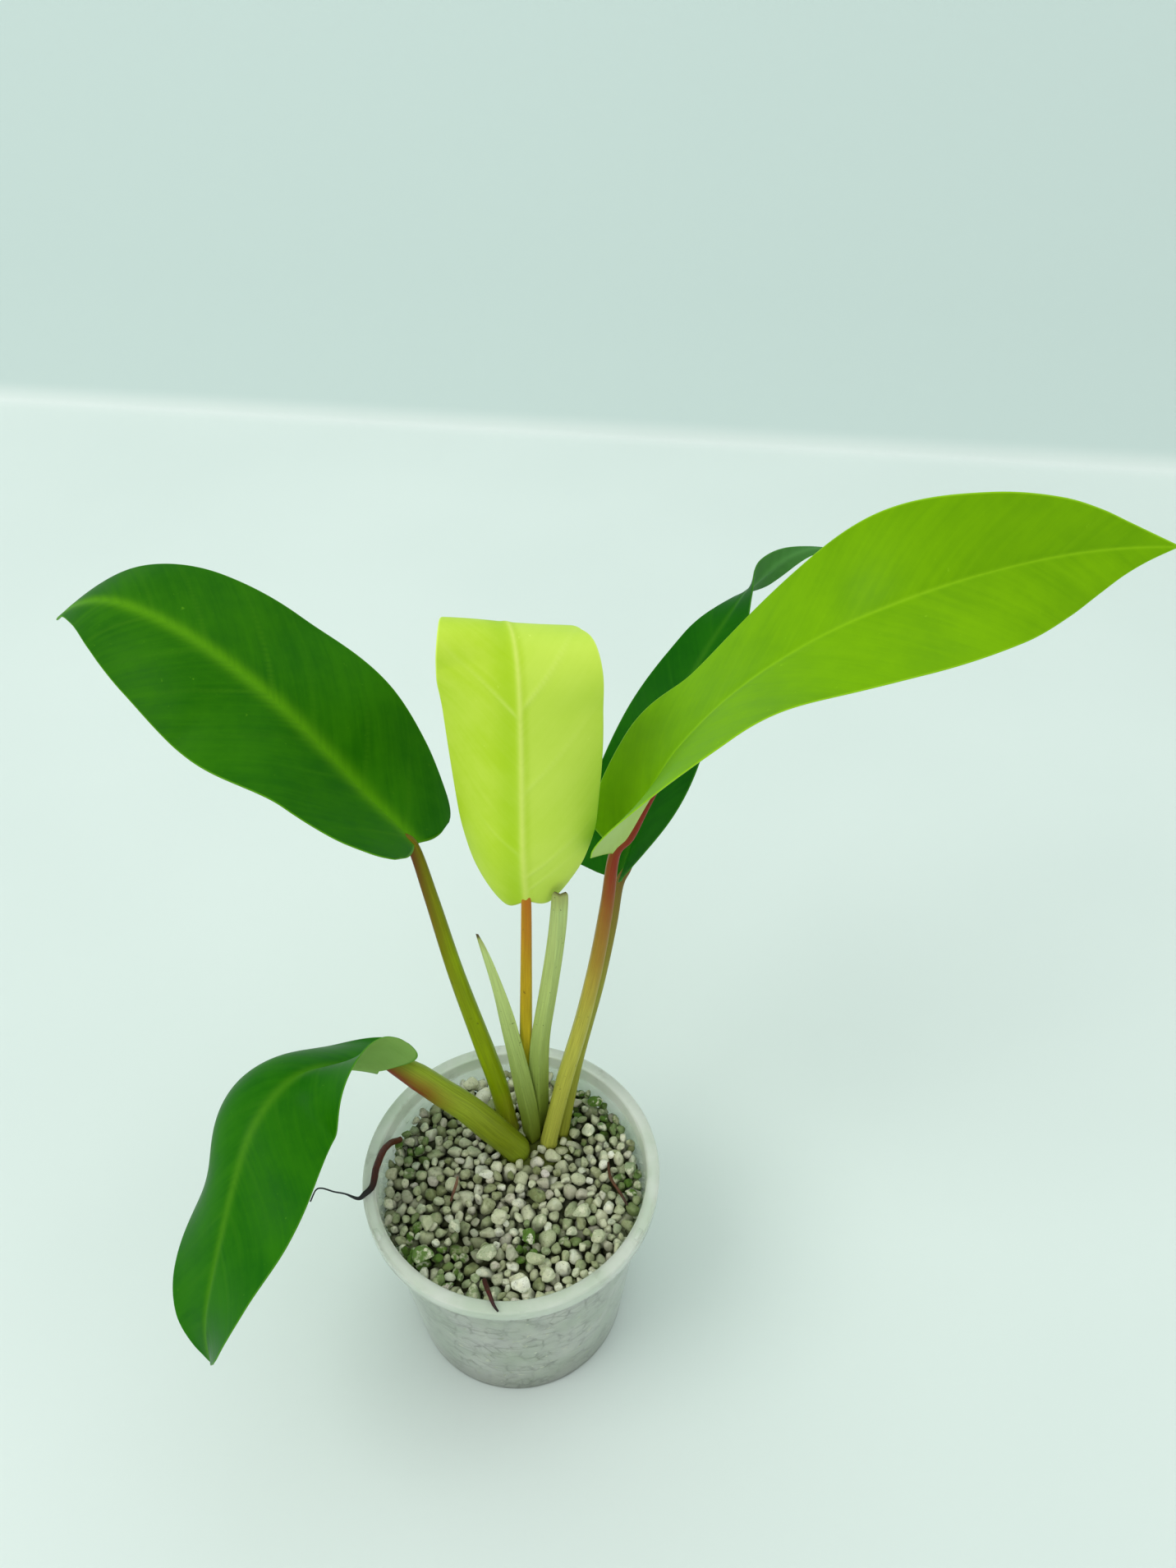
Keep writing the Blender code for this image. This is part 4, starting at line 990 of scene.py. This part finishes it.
def wall_root_route(stations):
    points = []
    for compass, height, share in stations:
        angle = math.radians(compass)
        outward = np.array((math.cos(angle), math.sin(angle), 0))
        z = max(PUMICE_LEVEL + height / 1000, POT_FLOOR + WALL_ROOT_RADIUS + ROOT_GAP)
        start = np.array((*CROWN_CENTRE, z)) + outward * (crown_reach(angle, z) - 0.001)
        wall = outward * (inner_radius(z) - WALL_ROOT_RADIUS - ROOT_GAP) + (0, 0, z)
        points.append(start + (wall - start) * share)
    route, radii = smooth_route(points, [WALL_ROOT_RADIUS] * len(points), 90)
    reach = np.hypot(route[:, 0], route[:, 1])
    most = np.array([inner_radius(z) for z in route[:, 2]]) - WALL_ROOT_RADIUS - ROOT_GAP / 2
    route[:, :2] *= np.minimum(1, most / reach)[:, None]
    return route, radii * np.linspace(1.05, 0.8, len(radii))


def root_section(at, angle):
    """A root's section, slightly flat and wrinkled along its length."""
    return 0.95 + 0.05 * math.cos(2 * angle + at * 9) + 0.035 * math.sin(5 * angle + at * 31)


def root_skin(name, browns):
    finish, tree, shader = new_finish(name, 0.55, 0.35)
    run = stored(tree, "run", "Vector")
    place = object_place(tree)
    base = colours_along(tree, run, browns, (grain_noise(tree, place, 500), 0.12))
    wrinkles = grain_noise(tree, stretched(tree, run, (3.5, 0, 40)), 1, 4)
    tint = shaded(tree, base, spread(tree, wrinkles, 0.3, 0.7, 0.6, 1.3))
    give_look(tree, shader, tint, spread(tree, wrinkles, 0.3, 0.7, 0.4, 0.7))
    raise_bump(tree, shader, wrinkles, 0.6, 0.0003)
    return finish


def make_root(name, route, radii, skin, slot_name, cad_node, sides=20):
    piece, at, run = swept(name, route, radii, sides, (0.3, 0.2, 1), root_section)
    keep_run(piece, run)
    piece.data.materials.append(skin)
    fit(piece, slot_name, cad_node)


wall_root_finish = root_skin("wall_root_skin", ROOT_BROWNS["wall"])
wall_routes = []
for name, stations in WALL_ROOTS.items():
    route, radii = wall_root_route(stations)
    wall_routes.append(route)
    make_root(f"wall_root_{name}", route, radii, wall_root_finish, "inner_root",
              f"root_inner_{name}")


# Pumice: crushed, washed volcanic grains of 3 to 7 mm that fill the pot to just under its lip.
# The grains at the top and at the wall are made one by one, tumbled and settled on each other,
# round a plain core that nobody sees, coloured dark as painted shade. Painted shade darkens the
# grains in their pits, below the top layer and in one spot, and algae green them here and there.
SMALLEST_GRAIN = 0.0012
LARGEST_GRAIN = 0.0034
GRAIN_SHAPES = 28
GRAIN_PLANES = 13
GRAIN_PITS = 7
GRAIN_LOOKS = ("tone", "pink", "algae", "painted_shade")
TOP_DEPTH = 0.0115
SEEN_DEPTH = 0.0062
TOP_GRAINS = 3200
TOP_PLACES = 26
WALL_GRAINS = 2600
WALL_PLACES = 14
WALL_GAP = 0.0003
CORE_INSET = 0.0042
CORE_DEPTH = 0.008
# Middle and width of a round spot of painted shade on the pumice.
PAINTED_SHADE_SPOT = (-0.0125, -0.0235, 0.0085)
PUMICE_PALE = (242, 242, 214)
PUMICE_MIDDLE = (204, 207, 170)
PAINTED_PUMICE_SHADE = (62, 68, 36)
ALGAE = (96, 128, 52)
ALGAE_BRIGHT = (84, 124, 46)
PINKISH = (206, 192, 190)
ALGAE_PATCHES = (
    (0.033, 0.033, 0.017, 0.9), (-0.045, 0.014, 0.013, 0.75), (-0.036, -0.026, 0.013, 0.6),
    (0.007, -0.026, 0.006, 1.1), (0.046, -0.004, 0.008, 0.75), (-0.018, -0.036, 0.012, 0.55),
    (0.024, -0.022, 0.012, 0.35),
)
LOOSE_GRAINS = (
    (31, 32, 6.5, 5.5, 5, 20), (-18.5, 41, 6.5, 5.5, 4.5, 70), (-10, 1, 5.5, 4, 3.5, 10),
    (-4, -16, 6, 5.5, 4.5, 0), (-8, -30, 8, 6.5, 5, 35), (7, -24, 6, 5, 4, 150),
    (10, -32, 7.5, 4.5, 4, 165), (1, -30, 7, 4.5, 4, 120), (44.5, 3, 5.5, 5, 4, 90),
    (32, -24, 6, 5, 4, 40), (-30, -31, 8, 6, 5, 15), (-30, -19, 6, 5, 5, 80),
    (-20, -20, 6, 4.5, 4.5, 130), (5, -42, 7, 5.5, 4.5, 0), (15, -38, 6.5, 5, 4, 60),
    (26, -14, 7, 5, 4, 25), (28.5, 19, 6.5, 5, 5, 100),
)


def ball(subdivisions):
    bm = bmesh.new()
    bmesh.ops.create_icosphere(bm, subdivisions=subdivisions, radius=1)
    bm.verts.ensure_lookup_table()
    points = np.array([tuple(unit(vert.co)) for vert in bm.verts])
    faces = np.array([[vert.index for vert in face.verts] for face in bm.faces])
    bm.free()
    return points, faces


def crushed_shape(ways, pick):
    """A crushed grain: a ball cut by soft planes, then pitted. Also how deep each point lies."""
    planes = unit(pick.normal(size=(GRAIN_PLANES, 3)))
    heights = pick.uniform(0.74, 1.02, GRAIN_PLANES)
    facing = np.clip(ways @ planes.T, 1e-3, None) / heights
    reach = 1 / (np.sum(facing ** 9, axis=1) ** (1 / 9))
    reach = np.clip(reach, 0.6, 1.22)
    deep = np.zeros(len(ways))
    for _ in range(GRAIN_PITS):
        middle = unit(pick.normal(size=3))
        size = pick.uniform(0.12, 0.34)
        deep += np.exp(-((1 - ways @ middle) / (size ** 2 / 1.2)) ** 2) * pick.uniform(0.04, 0.13)
    rough = sum(np.sin(ways @ (unit(pick.normal(size=3)) * f) + pick.uniform(0, 6)) * 0.16 / f
                for f in (5, 7, 9, 12, 15, 19))
    return ways * (reach - deep + rough * 0.5)[:, None], deep + np.clip(-rough, 0, 1) * 0.4


def random_turn(pick):
    turn, _ = np.linalg.qr(pick.normal(size=(3, 3)))
    return turn * np.sign(np.linalg.det(turn))


def algae_share(x, y, z):
    """Where algae grow: at the back right, along the left wall and in patches at the front."""
    near = sum(power * math.exp(-((x - a) ** 2 + (y - b) ** 2) / size ** 2)
               for a, b, size, power in ALGAE_PATCHES)
    return near + 0.25 * (1 + lumps(Vector((x * 90, y * 90, 3.1)))) - 0.1


def grains_mesh(name, spots, sizes, subdivisions, pick, tilt_to_wall=False):
    """Puts a crushed grain on each spot, each with its own turn and proportions, and keeps for
    every point its grain's tone, its algae and the painted shade from its pits and from how deep it
    lies."""
    ways, triangles = ball(subdivisions)
    shapes = [crushed_shape(ways, pick) for _ in range(GRAIN_SHAPES)]
    points = []
    faces = []
    looks = []
    for k, (spot, size) in enumerate(zip(spots, sizes)):
        shape, deep = shapes[pick.integers(len(shapes))]
        stretch = np.array((1.16, pick.uniform(0.86, 1.05), pick.uniform(0.72, 0.95)))
        grain = (shape * stretch * size) @ random_turn(pick).T + spot
        faces.append(triangles + k * len(ways))
        points.append(grain)
        tone = pick.uniform(0, 1) ** 0.8
        algae = algae_share(*spot) * pick.uniform(0.15, 1.5)
        pink = float(pick.uniform() < 0.1) * pick.uniform(0.4, 1)
        # How far the grain lies below the top layer, which sets its painted shade.
        below = np.clip((PUMICE_LEVEL + 0.0012 - grain[:, 2]) / 0.006, 0, 1)
        if tilt_to_wall:
            below = 0 * below
        # Painted shade: a round dark spot on the pumice at the front left.
        away = (spot[0] - PAINTED_SHADE_SPOT[0]) ** 2 + (spot[1] - PAINTED_SHADE_SPOT[1]) ** 2
        painted_spot_shade = math.exp(-away / PAINTED_SHADE_SPOT[2] ** 2)
        # Painted shade: darker in the grain's pits, on grains below the top layer and in one spot
        # on the pumice.
        painted_shade = np.clip(deep * 2.2 + below ** 1.5 + 0.5 * painted_spot_shade, 0, 1)
        whole = np.ones(len(ways))
        looks.append(np.stack([tone * whole, pink * whole, min(1, max(0, algae)) * whole, painted_shade]))
    piece = mesh_piece(name, np.concatenate(points), np.concatenate(faces).tolist())
    for kind, values in zip(GRAIN_LOOKS, np.concatenate(looks, axis=1)):
        keep_values(piece, kind, values)
    return piece


def pumice_skin():
    finish, tree, shader = new_finish("pumice_stone", 0.9, 0.2)
    place = object_place(tree)
    tone, pink, algae, painted_shade = (stored(tree, look) for look in GRAIN_LOOKS)
    fine = grain_noise(tree, place, 1500, 4, 0.65)
    coarse = grain_noise(tree, place, 380, 3)
    tone = plus(tree, tone, from_middle(tree, coarse, 0.9))
    tint = colour_steps(tree, tone, ((0.0, (136, 142, 98)), (0.35, PUMICE_MIDDLE),
                                     (0.8, PUMICE_PALE), (1.0, (252, 252, 236))))
    tint = blend_colours(tree, times(tree, pink, 0.7), tint, linear(PINKISH))
    grown = times(tree, algae, spread(tree, coarse, 0.32, 0.54, 0.0, 1.5))
    green = blend_colours(tree, spread(tree, fine, 0.4, 0.65), linear(ALGAE), linear(ALGAE_BRIGHT))
    tint = blend_colours(tree, times(tree, grown, 0.85, True), tint, green)
    # Painted shade: the grains darken towards a dark olive as their painted shade rises.
    tint = blend_colours(tree, times(tree, painted_shade, 0.9, True), tint, linear(PAINTED_PUMICE_SHADE))
    # Painted shade in the pumice's pores: darker where the fine noise, and with it the bump, is
    # low.
    painted_pore_shade = spread(tree, fine, 0.3, 0.44, 0.6, 0.0)
    tint = blend_colours(tree, painted_pore_shade, tint, linear((88, 90, 62)))
    give_look(tree, shader, tint, spread(tree, fine, 0.3, 0.7, 0.8, 0.98))
    raise_bump(tree, shader, plus(tree, fine, coarse), 0.7, 0.0003)
    return finish


def grain_sizes(pick, count):
    return SMALLEST_GRAIN + (LARGEST_GRAIN - SMALLEST_GRAIN) * pick.beta(2.0, 2.1, count)


def raised(z, apart, touch, heights):
    """Lifts each place tried until its grain rests on the settled ones that it touches."""
    rest = heights + np.sqrt(np.clip(touch ** 2 - apart ** 2, 0, None))
    return np.maximum(z, np.where(apart < touch, rest, -1).max(axis=1))


def settle_top(pick, tries):
    """Drops grains one by one to the lowest of many places, so that they pack, and leaves out
    those that would press into a stalk, a scale or the crown, or stand above the surface."""
    blocked = []
    for stalk in STALKS.values():
        route, radii = smooth_route(plant_points(stalk["points"]),
                                    [r / 1000 for r in stalk["radii"]], 60)
        blocked += [(*p, r) for p, r in zip(route, radii) if p[2] < PUMICE_LEVEL + 0.02]
    for leaf in SCALES.values():
        start = plant_points([leaf["start"]])[0]
        blocked += [(start[0], start[1], start[2] + rise, 0.0032) for rise in (0, 0.003, 0.006)]
    for x, y, length, width, height, _ in LOOSE_GRAINS:
        blocked.append((x / 1000, y / 1000, PUMICE_LEVEL + 0.0006 + height / 2000,
                        (length + width + height) / 6400))
    blocked = np.array(blocked)
    spots = np.zeros((tries, 3))
    sizes = np.zeros(tries)
    count = 0
    for size in grain_sizes(pick, tries):
        limit = inner_radius(PUMICE_LEVEL) - size - 0.0002
        reach = limit * np.sqrt(pick.uniform(0, 1, TOP_PLACES))
        angle = pick.uniform(0, 2 * math.pi, TOP_PLACES)
        x = reach * np.cos(angle)
        y = reach * np.sin(angle)
        z = np.full(TOP_PLACES, PUMICE_LEVEL - TOP_DEPTH + size)
        in_crown = (((x - CROWN_CENTRE[0]) / (CROWN_WIDTH / 2)) ** 2
                    + ((y - CROWN_CENTRE[1]) / (CROWN_DEPTH / 2)) ** 2) < 1
        z = np.where(in_crown, CROWN_LEVEL + size * 0.6, z)
        if count:
            apart = np.hypot(x[:, None] - spots[None, :count, 0],
                             y[:, None] - spots[None, :count, 1])
            touch = (size + sizes[None, :count]) * 0.93
            z = raised(z, apart, touch, spots[None, :count, 2])
        gap = np.sqrt((x[:, None] - blocked[None, :, 0]) ** 2
                      + (y[:, None] - blocked[None, :, 1]) ** 2
                      + (z[:, None] - blocked[None, :, 2]) ** 2)
        free = (gap > size * 0.85 + blocked[None, :, 3]).all(axis=1)
        heap = np.array([lumps(Vector((a * 60, b * 60, 0))) for a, b in zip(x, y)])
        low = z + size * 0.8 < PUMICE_LEVEL + 0.0008 + 0.0009 * heap
        usable = np.flatnonzero(free & low)
        if not len(usable):
            continue
        best = usable[np.argmin(z[usable])]
        spots[count] = (x[best], y[best], z[best])
        sizes[count] = size
        count += 1
    return spots[:count], sizes[:count]


def settle_wall(pick, tries):
    """Stacks grains against the wall from the floor up, drawn in where a root lies there."""
    roots = np.concatenate([route[::2] for route in wall_routes])
    spots = np.zeros((tries, 3))
    sizes = np.zeros(tries)
    count = 0
    for size in grain_sizes(pick, tries):
        angle = pick.uniform(0, 2 * math.pi, WALL_PLACES)
        z = np.full(WALL_PLACES, POT_FLOOR + size + WALL_GAP)
        radius = np.array([inner_radius(h) for h in z]) - size - WALL_GAP
        if count:
            around = np.arctan2(spots[:count, 1], spots[:count, 0])
            turn = (angle[:, None] - around[None, :] + math.pi) % (2 * math.pi) - math.pi
            apart = abs(turn) * radius[:, None]
            touch = (size + sizes[None, :count]) * 0.97
            z = raised(z, apart, touch, spots[None, :count, 2])
        best = int(np.argmin(z))
        if z[best] > PUMICE_LEVEL - 0.004:
            continue
        reach = inner_radius(z[best]) - size * 0.97 - WALL_GAP
        spot = np.array((reach * math.cos(angle[best]), reach * math.sin(angle[best]), z[best]))
        near = np.linalg.norm(roots - spot, axis=1).min()
        if near < size + WALL_ROOT_RADIUS:
            draw = min(2.2 * WALL_ROOT_RADIUS, size + WALL_ROOT_RADIUS - near + 0.0004)
            spot[:2] *= 1 - draw / reach
        spots[count] = spot
        sizes[count] = size
        count += 1
    return spots[:count], sizes[:count]


def pumice_core():
    top = PUMICE_LEVEL - CORE_DEPTH
    floor = POT_FLOOR + 0.0006
    profile = [(0, floor), (inner_radius(0.004) - CORE_INSET, floor)]
    profile += [(inner_radius(z) - CORE_INSET, z) for z in np.linspace(0.006, top - 0.002, 10)]
    profile += [(inner_radius(top) - CORE_INSET - 0.002, top), (0.02, top + 0.0003),
                (0, top + 0.0003)]
    core = turned("pumice_core", profile[::-1], 72)
    # Painted shade: the core is coloured dark, for the shade deep in the gaps between the grains.
    for look, value in zip(GRAIN_LOOKS, (0, 0, 0, 0.8)):
        keep_values(core, look, np.full(len(core.data.vertices), value))
    return core


def make_loose_grain(number, grain, pick, skin):
    x, y, length, width, height, turn = grain
    ways, triangles = ball(4)
    shape, deep = crushed_shape(ways, pick)
    shape = shape / abs(shape).max(axis=0) * np.array((length, width, height)) / 2000
    angle = math.radians(turn)
    spin = np.array(((math.cos(angle), -math.sin(angle), 0), (math.sin(angle), math.cos(angle), 0),
                     (0, 0, 1)))
    low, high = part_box(f"grain_{number:02d}")
    middle = np.array((low + high) / 2)
    points = shape @ spin.T + middle
    piece = mesh_piece(f"loose_grain_{number:02d}", points, triangles.tolist())
    ones = np.ones(len(points))
    keep_values(piece, "tone", ones * (0.45 + 0.55 * pick.uniform()))
    keep_values(piece, "pink", ones * float(pick.uniform() < 0.15) * 0.8)
    keep_values(piece, "algae", ones * min(1, algae_share(*middle) * pick.uniform(0.5, 1.3)))
    # Painted shade in the loose grain's pits.
    keep_values(piece, "painted_shade", np.clip(deep * 1.8, 0, 1))
    piece.data.materials.append(skin)
    fit(piece, "grain", f"grain_{number:02d}")


pumice_finish = pumice_skin()
pumice_pick = np.random.default_rng(11)
top_spots, top_sizes = settle_top(pumice_pick, TOP_GRAINS)
seen = top_spots[:, 2] > PUMICE_LEVEL - SEEN_DEPTH
wall_spots, wall_sizes = settle_wall(pumice_pick, WALL_GRAINS)
for name, spots, sizes, fineness, at_wall in (
        ("pumice_top", top_spots[seen], top_sizes[seen], 3, False),
        ("pumice_below", top_spots[~seen], top_sizes[~seen], 2, False),
        ("pumice_at_wall", wall_spots, wall_sizes, 2, True)):
    layer = grains_mesh(name, spots, sizes, fineness, pumice_pick, at_wall)
    layer.data.materials.append(pumice_finish)
    fit(layer, "pumice", "pumice_fill")
core = pumice_core()
core.data.materials.append(pumice_finish)
fit(core, "pumice", "pumice_fill")
for number, grain in enumerate(LOOSE_GRAINS, start=1):
    make_loose_grain(number, grain, pumice_pick, pumice_finish)


# Dry roots: a thick red-brown root that climbs over the lip on the left and ends in a fine black
# thread, a short one at the front, and two rootlets lying on the pumice.
DRY_ROOTS = {
    "root_over_rim": dict(
        on_pumice=((161, -8.5, 2.6),),
        at_rim=((167, -7, -2), (174, -6.2, 1.2), (182, -5.2, 2.2), (190, -4, 2), (193, -1, 1.9),
                (194, 1.6, 1.4), (191, 6, 1), (189, 10.3, 0), (187, 14.5, -0.7),
                (187, 17, -1.4), (190, 19, -2.2)),
        radii=(1.2, 1.3, 1.3, 1.3, 1.25, 1.1, 0.7, 0.35, 0.32, 0.3, 0.3, 0.28), look="rim"),
    "root_front": dict(
        on_pumice=((-101, -13.8, 3),),
        at_rim=((-98, -9.5, -2.4), (-96, -6, 1.3), (-94, -2.7, 1.6), (-92, -0.4, 1.2)),
        radii=(0.9, 0.9, 0.85, 0.6, 0.35), look="front"),
    "rootlet_right": dict(
        on_pumice=((9, -18.5, 2), (0, -18.5, 3.2), (-5, -17, 3.2), (-10, -14, 2.6),
                   (-15, -10.6, 2)),
        at_rim=(), radii=(0.45, 0.6, 0.6, 0.6, 0.45), look="right"),
    "rootlet_left": dict(
        on_pumice=((181, -34.4, 2), (190, -34, 3), (197, -32.7, 3), (204, -30.6, 2)),
        at_rim=(), radii=(0.4, 0.6, 0.6, 0.4), look="left"),
}


def rim_point(compass, beyond, height):
    angle = math.radians(compass)
    reach = RIM_RADIUS + beyond / 1000
    return np.array((reach * math.cos(angle), reach * math.sin(angle), height))


for name, root in DRY_ROOTS.items():
    points = [rim_point(compass, beyond, PUMICE_LEVEL + height / 1000)
              for compass, beyond, height in root["on_pumice"]]
    points += [rim_point(compass, beyond, POT_HEIGHT + height / 1000)
               for compass, beyond, height in root["at_rim"]]
    route, radii = smooth_route(points, [r / 1000 for r in root["radii"]], 130)
    make_root(f"dry_{name}", route, radii, root_skin(f"{name}_skin", ROOT_BROWNS[root["look"]]),
              "dry_root", name)


# Table and backdrop: one wide sheet of pale vinyl that lies under the pot, turns up in a soft
# crease far behind it and hangs on the wall, its upright part painted darker as painted shade.
# It isn't part of the plant.
SHEET_PALE = (231, 242, 237)
SHEET_SHADE = (224, 236, 231)
UPRIGHT_PAINTED_SHADE = (206, 224, 219)
CREASE_BEHIND = 0.814
CREASE_TILT = 0.139
CREASE_RADIUS = 0.008


def backdrop_sheet():
    finish, tree, shader = new_finish("pale_vinyl", 0.65, 0.25)
    place = object_place(tree)
    cloud = grain_noise(tree, place, 1.6, 3)
    tint = blend_colours(tree, spread(tree, cloud, 0.3, 0.7), linear(SHEET_PALE),
                         linear(SHEET_SHADE))
    steps = node(tree, "SeparateXYZ", Vector=place)
    # Painted shade: the upright part of the sheet is coloured darker than the part on the table.
    tint = blend_colours(tree, spread(tree, steps.outputs["Z"], 0.002, 0.02), tint,
                         linear(UPRIGHT_PAINTED_SHADE))
    tree.links.new(tint, shader.inputs["Base Color"])
    raise_bump(tree, shader, grain_noise(tree, place, 1100, 2), 0.1, 0.0002)
    return finish


sheet_points = []
sheet_rows = [(-2.5, 0.0), (-0.5, 0.0), (0.3, 0.0), (CREASE_BEHIND - CREASE_RADIUS, 0.0)]
sheet_rows += [(CREASE_BEHIND + CREASE_RADIUS * math.sin(a),
                CREASE_RADIUS - CREASE_RADIUS * math.cos(a))
               for a in np.radians(np.linspace(15, 75, 5))]
sheet_rows += [(CREASE_BEHIND + back, height) for back, height in ((0.06, 0.12), (0.3, 1.6),
                                                                    (0.5, 3.0))]
sheet_columns = np.linspace(-3, 3, 25)
for depth, height in sheet_rows:
    sheet_points += [(x, depth - CREASE_TILT * x * (depth > 0.5), height) for x in sheet_columns]
wide = len(sheet_columns)
sheet_faces = [(i * wide + j, i * wide + j + 1, (i + 1) * wide + j + 1, (i + 1) * wide + j)
               for i in range(len(sheet_rows) - 1) for j in range(wide - 1)]
backdrop = mesh_piece("backdrop", sheet_points, sheet_faces)
backdrop.data.materials.append(backdrop_sheet())


# Light: a wide, soft window from the upper left and the front, a weaker glow from the ceiling
# behind, and an even pale room that lights everything from all sides.
ROOM_LIGHT = (244, 247, 247)
ROOM_STRENGTH = 0.86

world = bpy.data.worlds.new("room")
bpy.context.scene.world = world
world.use_nodes = True
world.node_tree.nodes["Background"].inputs["Color"].default_value = linear(ROOM_LIGHT)
world.node_tree.nodes["Background"].inputs["Strength"].default_value = ROOM_STRENGTH


def soft_lamp(name, place, target, size, power, colour):
    lamp = bpy.data.lights.new(name, "AREA")
    lamp.shape = "DISK"
    lamp.size = size
    lamp.energy = power
    lamp.color = colour
    made = bpy.data.objects.new(name, lamp)
    bpy.context.scene.collection.objects.link(made)
    made.location = place
    made.rotation_mode = "QUATERNION"
    made.rotation_quaternion = (Vector(target) - Vector(place)).to_track_quat("-Z", "Y")


soft_lamp("window", (-1.3, -0.6, 2.2), (0, 0, 0.1), 1.5, 16, (1.0, 0.99, 0.96))
soft_lamp("ceiling", (0.5, 0.9, 2.2), (0, 0.1, 0.1), 1.8, 6, (0.97, 1.0, 1.0))


# Camera: it stands in front of the plant, higher than its leaves, and looks down at it, so that
# the pumice shows inside the lip and the wall of the pot is seen from above.
CAMERA_PLACE = (0.0284, -0.2339, 0.4904)
CAMERA_TILT = 48.53
CAMERA_LENS = 27.04

camera_data = bpy.data.cameras.new("camera")
camera_data.sensor_width = 36
camera_data.lens = CAMERA_LENS
camera = bpy.data.objects.new("camera", camera_data)
bpy.context.scene.collection.objects.link(camera)
camera.location = CAMERA_PLACE
camera.rotation_euler = (math.radians(CAMERA_TILT), 0, 0)
bpy.context.scene.camera = camera
bpy.context.scene.view_settings.view_transform = "Standard"
